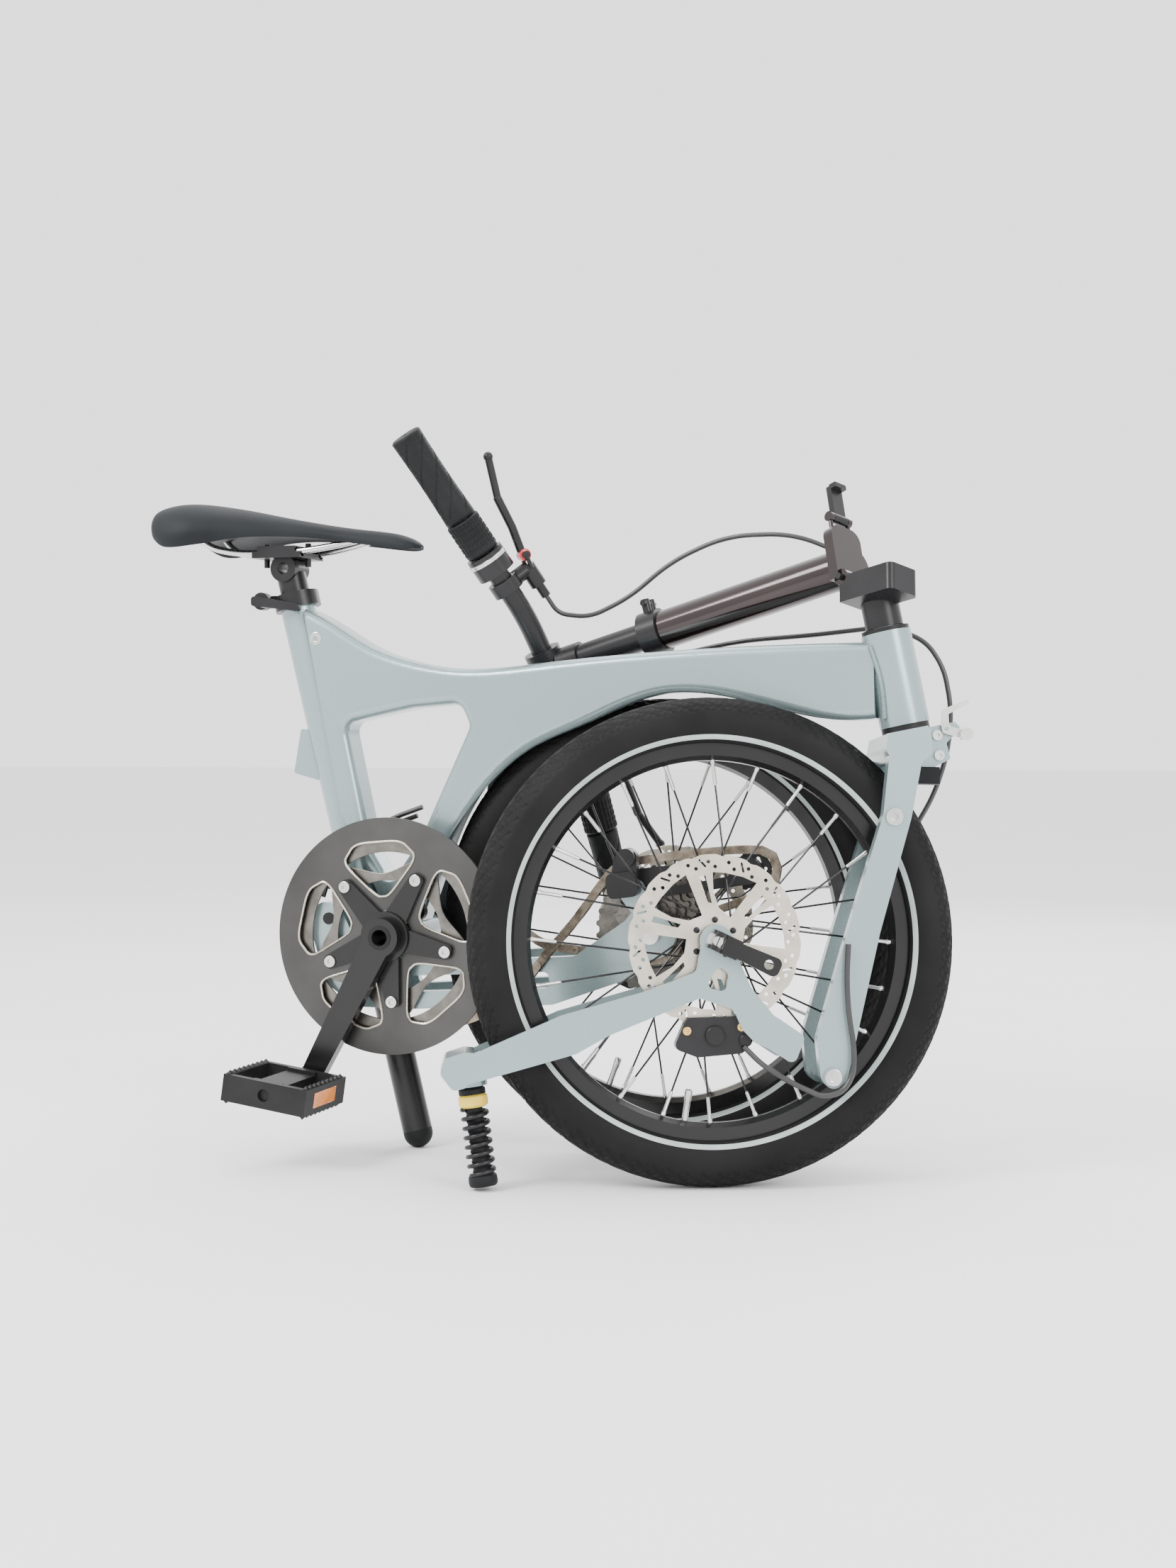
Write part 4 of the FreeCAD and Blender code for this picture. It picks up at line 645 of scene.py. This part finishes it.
# ---- spring unit ----
def spring_piece():
    low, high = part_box("front_spring")
    place = Matrix.Rotation(math.radians(22.0), 4, Vector(STEER_AXIS))
    origin = spot(166.7, 0, 427.4)

    def fork_spot(x, y, z):
        return origin + place @ (spot(x, y, z) - origin)

    top = fork_spot(-237, 0, 88)
    foot = fork_spot(-225, 0, 2)
    along = (foot - top).normalized()
    foot = top + along * ((low.z + 0.004 - top.z) / along.z)
    length = (foot - top).length
    side = along.orthogonal().normalized()
    across = along.cross(side)
    turns = 7.0
    steps = 300
    path = []
    for step in range(steps + 1):
        angle = 2 * math.pi * turns * step / steps
        share = 0.22 + 0.66 * step / steps
        path.append(top + along * (length * share)
                    + (side * math.cos(angle) + across * math.sin(angle)) * 0.0113)
    parts = []
    points, faces = tube_mesh(path, [0.0021] * len(path), 12)
    parts.append((points, faces, 0))
    levels = [0.2 + 0.7 * index / 42 for index in range(43)]
    core = [top + along * (length * level) for level in levels]
    ribs = [0.0082 + 0.0006 * math.cos(index * math.pi / 1.5) for index in range(43)]
    points, faces = tube_mesh(core, ribs, 32)
    parts.append((points, faces, 1))
    ring = [top + along * (length * level) for level in (0.08, 0.1, 0.15, 0.19, 0.21)]
    points, faces = tube_mesh(ring, [0.0112, 0.0134, 0.0137, 0.0134, 0.0112], 40)
    parts.append((points, faces, 2))
    cap = [top + along * (length * level) for level in (0.0, 0.03, 0.08)]
    points, faces = tube_mesh(cap, [0.0095, 0.0125, 0.0125], 40)
    parts.append((points, faces, 1))
    shoe = [top + along * (length * level) for level in (0.87, 0.9, 0.95, 0.985, 1.0)]
    points, faces = tube_mesh(shoe, [0.0105, 0.0132, 0.0136, 0.013, 0.0118], 40)
    parts.append((points, faces, 1))
    finish_piece("front_spring_coil", parts, [BLACK, SOFT, YELLOW], "front_arm", ("front_spring",))


# ---- saddle ----
def curve_through(stops, x):
    """Height of a smooth curve through the stops, which are (x, height) pairs."""
    last = len(stops) - 1
    x = min(max(x, stops[0][0]), stops[last][0])
    index = 0
    while index < last - 1 and x > stops[index + 1][0]:
        index += 1
    slopes = []
    for near in (index, index + 1):
        before = stops[max(near - 1, 0)]
        after = stops[min(near + 1, last)]
        slopes.append((after[1] - before[1]) / (after[0] - before[0]))
    width = stops[index + 1][0] - stops[index][0]
    t = (x - stops[index][0]) / width
    start = (2 * t ** 3 - 3 * t ** 2 + 1) * stops[index][1] + (t ** 3 - 2 * t ** 2 + t) * width * slopes[0]
    end = (3 * t ** 2 - 2 * t ** 3) * stops[index + 1][1] + (t ** 3 - t ** 2) * width * slopes[1]
    return start + end


# along the bicycle and half the width, the crown and the skirt's lower edge, in design millimetres
SADDLE_REAR = -611
SADDLE_NOSE = -323
SADDLE_WIDTH = ((-611, 18), (-607, 42), (-595, 62), (-565, 71), (-520, 58), (-470, 37), (-420, 26),
                (-370, 21), (-337, 18), (-328, 13), (-323, 4))
SADDLE_CROWN = ((-611, 644), (-602, 654), (-570, 659), (-520, 653), (-460, 641), (-400, 630),
                (-350, 623), (-332, 617), (-323, 611))
SADDLE_SKIRT = ((-611, 638), (-600, 622), (-580, 609), (-545, 611), (-500, 619), (-440, 619),
                (-380, 611), (-340, 606), (-323, 607))


def saddle_point(x, turn):
    """Point on the saddle's skin: over the crown, down the skirt and back along the hollow underside."""
    half = curve_through(SADDLE_WIDTH, x)
    crown = curve_through(SADDLE_CROWN, x)
    skirt = min(curve_through(SADDLE_SKIRT, x), crown - 3)
    across = math.copysign(abs(math.sin(turn)) ** 0.75, math.sin(turn))
    level = abs(math.cos(turn))
    if math.cos(turn) > 0:
        channel = 2.0 * math.exp(-(half * across / 7.0) ** 2)
        channel *= min(max((x + 600) / 60, 0), 1) * min(max((-400 - x) / 60, 0), 1)
        return spot(x, half * across, skirt + (crown - skirt) * level ** 0.7 - channel)
    return spot(x, half * across * 0.95, skirt + (crown - skirt) * 0.3 * level ** 0.8)


def saddle_piece():
    stations = 72
    around = 56
    points = []
    faces = []
    for station in range(stations + 1):
        share = 0.5 - 0.5 * math.cos(math.pi * station / stations)
        x = SADDLE_REAR + (SADDLE_NOSE - SADDLE_REAR) * share
        points += [saddle_point(x, 2 * math.pi * index / around) for index in range(around)]
    for station in range(stations):
        for index in range(around):
            after = (index + 1) % around
            faces.append((station * around + index, station * around + after,
                          (station + 1) * around + after, (station + 1) * around + index))
    faces.append(tuple(range(around)))
    faces.append(tuple(reversed(range(stations * around, (stations + 1) * around))))
    piece = piece_from("saddle_cover", points, faces, [LEATHER])
    smooth = piece.modifiers.new("smooth", "SUBSURF")
    smooth.levels = 1
    smooth.render_levels = 1
    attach(piece, "seatpost")
    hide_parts("saddle")


# ---- grips and controls ----
def bar_frame(side):
    """Matrix whose Y axis runs inward along one grip from its end, in millimetres."""
    joint = joints["shift_twist_right" if side < 0 else "shift_twist_left"]
    out = Vector(joint["axis"]).normalized()
    start = Vector(joint["pos_m"]) + out * 0.120
    inward = -out
    up = inward.orthogonal().normalized()
    across = up.cross(inward)
    turn = Matrix((up, inward, across)).transposed().to_4x4()
    return Matrix.Translation(start) @ turn @ Matrix.Scale(MM, 4)


def grip_piece(side):
    place = bar_frame(side)
    steps = 144
    profile = [(2.0, 0.0), (9.0, 0.0), (14.5, 0.1), (16.2, 1.6)]
    profile += [(16.3 - 0.9 * math.sin(math.pi * index / 60), 2 + index * 1.55) for index in range(61)]
    profile += [(16.4, 96.6), (16.4, 99.6), (12.0, 99.9)]
    points = []
    faces = []
    rows = len(profile)
    for step in range(steps):
        turn = 2 * math.pi * step / steps
        for radius, y in profile:
            cut = 0.0
            if 8 < y < 92:
                stripe = (turn * 5 / (2 * math.pi) + y / 26.0) % 1.0
                cut = 0.9 if stripe < 0.08 else 0.0
                dots = (turn * 30 / (2 * math.pi)) % 1.0 < 0.3 and (y / 4.0) % 1.0 < 0.35
                cut += 0.35 if dots else 0.0
            reach = radius - cut
            points.append(place @ Vector((reach * math.cos(turn), y, reach * math.sin(turn))))
    for step in range(steps):
        after = (step + 1) % steps
        for row in range(rows - 1):
            faces.append((step * rows + row, step * rows + row + 1, after * rows + row + 1,
                          after * rows + row))
    return points, faces


def twist_piece(name, side, body):
    place = bar_frame(side)
    steps = 144
    profile = [(11.2, 101.2), (16.6, 101.2), (17.6, 102.6)]
    profile += [(17.8, 103 + index * 1.1) for index in range(31)]
    profile += [(17.4, 138.6), (16.6, 140.8), (11.2, 140.8)]
    points = []
    rows = len(profile)
    for step in range(steps):
        turn = 2 * math.pi * step / steps
        for radius, y in profile:
            rib = 0.0
            if 103 < y < 136:
                rib = 0.9 if (turn * 24 / (2 * math.pi)) % 1.0 < 0.4 or (y / 6) % 1.0 < 0.16 else 0.0
            points.append(place @ Vector(((radius - rib) * math.cos(turn), y,
                                          (radius - rib) * math.sin(turn))))
    faces = []
    for step in range(steps):
        after = (step + 1) % steps
        for row in range(rows - 1):
            faces.append((step * rows + row, step * rows + row + 1, after * rows + row + 1,
                          after * rows + row))
    finish_piece(name, [(points, faces, 0)], [SOFT], body, (body,), False)


# ---- small parts ----
def hex_bolt(centre, out, radius, height):
    """Socket-head bolt: a rim with a six-sided recess and its floor."""
    out = Vector(out).normalized()
    side = out.orthogonal().normalized()
    across = out.cross(side)
    matrix = Matrix((side, -out, across)).transposed().to_4x4()
    points, faces = sheet_part([circle(0, 0, radius, 36), circle(0, 0, radius * 0.55, 6)],
                               -height, 0, radius * 0.08)
    floor = [(x, -height * 0.3, z) for x, z in circle(0, 0, radius * 0.6, 6)]
    base = len(points)
    points = points + [Vector(point) for point in floor]
    faces = faces + [tuple(range(base, base + 6))]
    return [centre + (matrix @ point) * MM for point in points], faces


def weld_bead(path, radius):
    """Row of overlapping ripples along a weld."""
    fine = []
    for index in range(len(path) - 1):
        for step in range(10):
            fine.append(path[index].lerp(path[index + 1], step / 10))
    fine.append(path[-1])
    radii = [radius * (1 + 0.16 * math.cos(index * 2.1)) * MM for index in range(len(fine))]
    radii[0] = radii[-1] = radius * 0.4 * MM
    return tube_mesh([spot(*point) for point in fine], radii, 10)


def frame_details():
    """Weld beads and bolts that sit on the frame."""
    parts = []
    low = Vector((166.7, 0, 427.4))
    high = Vector((148.3, 0, 514.8))
    up = (high - low).normalized()
    back = Vector((-up.z, 0, up.x))
    for side in (-1, 1):
        path = []
        for index in range(13):
            share = index / 12
            height = 9 + 70 * share
            turn = math.radians(56 + 10 * math.sin(math.pi * share))
            reach = 24.2
            path.append(low + up * height + back * (reach * math.cos(turn) + 0.5)
                        + Vector((0, side * reach * math.sin(turn), 0)))
        points, faces = weld_bead(path, 2.4)
        parts.append((points, faces, 0))
    points, faces = hex_bolt(spot(-432, -18.5, 517), (0, -1, 0), 6.2, 3.2)
    parts.append((points, faces, 1))
    points, faces = hex_bolt(spot(-318, -33.0, 242), (0, -1, 0), 5.0, 2.0)
    parts.append((points, faces, 1))
    finish_piece("frame_details", parts, [PAINT, STEEL], "frame")


def fork_place():
    turn = Matrix.Rotation(math.radians(22.0), 4, Vector(STEER_AXIS))
    origin = spot(166.7, 0, 427.4)
    return lambda x, y, z: origin + turn @ (spot(x, y, z) - origin), turn


def fork_details():
    at, turn = fork_place()
    near = turn @ Vector((0, -1, 0))
    parts = []
    points, faces = hex_bolt(at(147, -46, 339), near, 7.5, 3.4)
    parts.append((points, faces, 0))
    for x, z in ((196, 418), (198, 399)):
        points, faces = hex_bolt(at(x, -6, z), near, 4.6, 2.6)
        parts.append((points, faces, 0))
    points, faces = hex_bolt(at(91, -49, 100.6), near, 7.5, 1.6)
    parts.append((points, faces, 0))
    block = [at(x, y, z) for x in (176, 198) for y in (-9, 9) for z in (372, 388)]
    block_faces = [(0, 1, 3, 2), (4, 6, 7, 5), (0, 4, 5, 1), (2, 3, 7, 6), (0, 2, 6, 4), (1, 5, 7, 3)]
    parts.append((block, block_faces, 1))
    finish_piece("fork_details", parts, [STEEL, SOFT], "fork")


def caliper_details():
    """Gold screws, pad adjuster and hose end on the front caliper's near face."""
    at, turn = fork_place()
    near = turn @ Vector((0, -1, 0))
    centre = (-12, -36.6, 143.6)
    parts = []
    for x, z in ((-30, -2), (20, 2)):
        points, faces = hex_bolt(at(centre[0] + x, centre[1], centre[2] + z), near, 3.6, 2.6)
        parts.append((points, faces, 0))
    for radius, x, z, reach in ((9.0, -4, -6, 5.0), (6.0, 24, -10, 3.5)):
        middle = at(centre[0] + x, centre[1], centre[2] + z)
        path = [middle + near * (step * MM) for step in (0, reach - 1, reach)]
        points, faces = tube_mesh(path, [radius * MM, radius * MM, (radius - 1.2) * MM], 28)
        parts.append((points, faces, 1))
    finish_piece("caliper_details", parts, [GOLD, PLASTIC], "front_arm")


def crank_details():
    place = crank_place()
    parts = []
    for index in range(5):
        turn = math.radians(60 + 72 * index)
        centre = Vector((65 * math.cos(turn), -59.5, 65 * math.sin(turn)))
        points, faces = hex_bolt(place @ centre, (0, -1, 0), 5.4, 2.4)
        parts.append((points, faces, 0))
        middle = 60 + 36 + 72 * index
        shape = [(40, -9), (86, -28), (97, -15), (98, 15), (86, 28), (40, 9)]
        edge = []
        for radius, turn_by in shape:
            angle = math.radians(middle + turn_by)
            edge.append(Vector((radius * math.cos(angle), -54.6, radius * math.sin(angle))))
        rounded = []
        for corner in range(len(edge)):
            before = edge[corner - 1]
            here = edge[corner]
            after = edge[(corner + 1) % len(edge)]
            reach = 0.3
            a = here.lerp(before, reach)
            b = here.lerp(after, reach)
            for step in range(7):
                t = step / 6
                rounded.append(a * (1 - t) ** 2 + here * 2 * t * (1 - t) + b * t ** 2)
        rounded.append(rounded[0])
        rounded.append(rounded[1])
        points, faces = tube_mesh([place @ point for point in rounded], [1.2 * MM] * len(rounded), 8)
        parts.append((points, faces, 1))
    finish_piece("crank_details", parts, [STEEL, DISC], "crank")


def pedal_details(name, joint, body, tilt):
    """Serrated cage edges and reflectors on one pedal."""
    centre = Vector(joints[joint]["pos_m"])
    place = (Matrix.Translation(centre) @ Matrix.Rotation(math.radians(tilt), 4, (0, 1, 0))
             @ Matrix.Scale(MM, 4))
    parts = []
    for sign in (-1, 1):
        for face in (-1, 1):
            for index in range(9):
                y = -38 + index * 9.5
                x = sign * 40.5
                z = face * 13.2
                tooth = [Vector((x - 2.4, y - 3, z)), Vector((x + 2.4, y - 3, z)),
                         Vector((x + 2.4, y + 3, z)), Vector((x - 2.4, y + 3, z)),
                         Vector((x, y - 1, z + face * 3.2)), Vector((x, y + 1, z + face * 3.2))]
                faces = [(0, 1, 4), (1, 2, 5, 4), (2, 3, 5), (3, 0, 4, 5), (3, 2, 1, 0)]
                parts.append((moved(tooth, place), faces, 0))
        loop = [(-24, -7), (24, -7), (24, 7), (-24, 7)]
        points, faces = sheet_part([loop], 0, 2.0, 0.5)
        turn = Matrix.Translation((sign * 44.2, 0, 0))
        turn = turn @ Matrix.Rotation(math.radians(90 * sign), 4, (0, 0, 1))
        parts.append((moved([turn @ point for point in points], place), faces, 1))
    finish_piece(name, parts, [PLASTIC, ORANGE], body)


def lever_accents():
    """Red pivots on the brake levers and the pale gear window on the shifters."""
    for side, word in ((-1, "right"), (1, "left")):
        joint = joints["brake_squeeze_" + word]
        axis = Vector(joint["axis"]).normalized()
        pivot = Vector(joint["pos_m"])
        path = [pivot + axis * (step * MM) for step in (-5.4, -4.8, 4.8, 5.4)]
        points, faces = tube_mesh(path, [5.2 * MM, 6.3 * MM, 6.3 * MM, 5.2 * MM], 28)
        finish_piece("lever_accent_" + word, [(points, faces, 0)], [RED], "brake_lever_" + word)
        place = bar_frame(side)
        ring = [(20.1, 146.5), (20.8, 147.0), (20.8, 150.5), (20.1, 151.0)]
        band, band_faces = lathe(ring, 96, place)
        finish_piece("shifter_band_" + word, [(band, band_faces, 0)], [STEEL], "bar_post")


def grips_piece():
    parts = []
    for side in (-1, 1):
        points, faces = grip_piece(side)
        parts.append((points, faces, 0))
    finish_piece("grip_covers", parts, [SOFT], "bar_post", ("grips",), False)


def dress_nodes():
    """Better materials for the CAD nodes that stay in sight."""
    dressed = {
        PAINT: ("frame", "rear_arm", "fork", "front_arm"),
        BLACK: ("seat_clamp", "seat_clamp_lever", "seatpost", "saddle_clamp", "stem_base",
                "stem_latch", "stem_lock", "bar_post", "handlebar", "derailleur_body",
                "derailleur_cage", "rear_caliper", "front_caliper", "front_hub", "rear_hub",
                "bar_controls", "brake_lever_right", "brake_lever_left"),
        GLOSS: ("stem_tube",),
        RIM_BLACK: ("front_rim", "rear_rim", "crank_right", "crank_left", "rear_quick_release",
                    "front_quick_release"),
        STEEL: ("chainring_bolts", "rear_skewer", "front_skewer", "fork_hook", "saddle_rails"),
        GUARD: ("chain_guard",),
        PLASTIC: ("pedal_right", "pedal_left", "crank_axles", "frame_hardware"),
        CABLE: ("rear_cables", "upper_hose", "front_hose", "bar_cables"),
        SOFT: ("post_plug",),
    }
    for material, names in dressed.items():
        for name in names:
            slots = nodes[name].material_slots
            for slot in slots:
                slot.material = material


# ---- studio ----
def studio():
    bpy.ops.mesh.primitive_plane_add(size=60, location=(0, 0, 0))
    floor = bpy.context.object
    floor.name = "studio_floor"
    material, tree, shader = new_material("studio_paper")
    paper = add_noise(tree, 3.0)
    colour = add_ramp(tree, paper.outputs["Fac"], (0.86, 0.85, 0.855), (0.88, 0.87, 0.875))
    tree.links.new(colour, shader.inputs["Base Color"])
    shader.inputs["Roughness"].default_value = 0.9
    floor.data.materials.append(material)
    world = bpy.data.worlds.new("studio_world")
    bpy.context.scene.world = world
    world.use_nodes = True
    world.node_tree.nodes["Background"].inputs["Color"].default_value = (0.93, 0.915, 0.92, 1)
    world.node_tree.nodes["Background"].inputs["Strength"].default_value = 2.3
    lights = (("key", (-1.6, -2.2, 2.6), 1.2, 110), ("fill", (2.4, -1.6, 1.6), 1.2, 45),
              ("top", (0.0, 0.6, 3.0), 2.2, 45), ("back", (0.6, 2.6, 1.8), 1.6, 30))
    for name, place, size, power in lights:
        light = bpy.data.lights.new(name, "AREA")
        light.size = size
        light.energy = power
        lamp = bpy.data.objects.new(name, light)
        lamp.location = place
        lamp.rotation_euler = (Vector((0, 0, 0.3)) - Vector(place)).to_track_quat("-Z", "Y").to_euler()
        bpy.context.scene.collection.objects.link(lamp)


def camera():
    data = bpy.data.cameras.new("camera")
    data.sensor_fit = "VERTICAL"
    data.sensor_height = 36.0
    data.lens = 48.82
    view = bpy.data.objects.new("camera", data)
    view.location = spot(497, -2000, 411)
    turn = math.radians(17.85)
    down = math.radians(1.11)
    ahead = Vector((-math.sin(turn) * math.cos(down), math.cos(turn) * math.cos(down),
                    -math.sin(down)))
    view.rotation_euler = ahead.to_track_quat("-Z", "Y").to_euler()
    bpy.context.scene.collection.objects.link(view)
    bpy.context.scene.camera = view


dress_nodes()
tyre_piece("front_tyre_tread", FRONT, "front_wheel", "front_tyre")
tyre_piece("rear_tyre_tread", REAR, "rear_wheel", "rear_tyre")
spokes_piece("front_spoke_set", FRONT, (-20, 22), 22, "front_wheel", "front_spokes")
spokes_piece("rear_spoke_set", REAR, (-20, 32), 24, "rear_wheel", "rear_spokes")
valve_piece("front_valve", FRONT, 262, "front_wheel")
valve_piece("rear_valve", REAR, 250, "rear_wheel")
rotor_piece("front_disc", FRONT, -29.0, "front_wheel", "front_rotor")
rotor_piece("rear_disc", REAR, 52.0, "rear_wheel", "rear_rotor")
cassette_piece()
chainring_piece()
jockey_piece("jockey_upper_teeth", "jockey_upper_spin", "jockey_wheel_upper")
jockey_piece("jockey_lower_teeth", "jockey_lower_spin", "jockey_wheel_lower")
chain_piece()
spring_piece()
saddle_piece()
grips_piece()
twist_piece("twist_cover_right", -1, "twist_shifter_right")
twist_piece("twist_cover_left", 1, "twist_shifter_left")
frame_details()
fork_details()
caliper_details()
crank_details()
pedal_details("pedal_details_right", "pedal_spin_right", "pedal_right", 8.0)
pedal_details("pedal_details_left", "pedal_spin_left", "pedal_left", 66.0)
lever_accents()
studio()
camera()
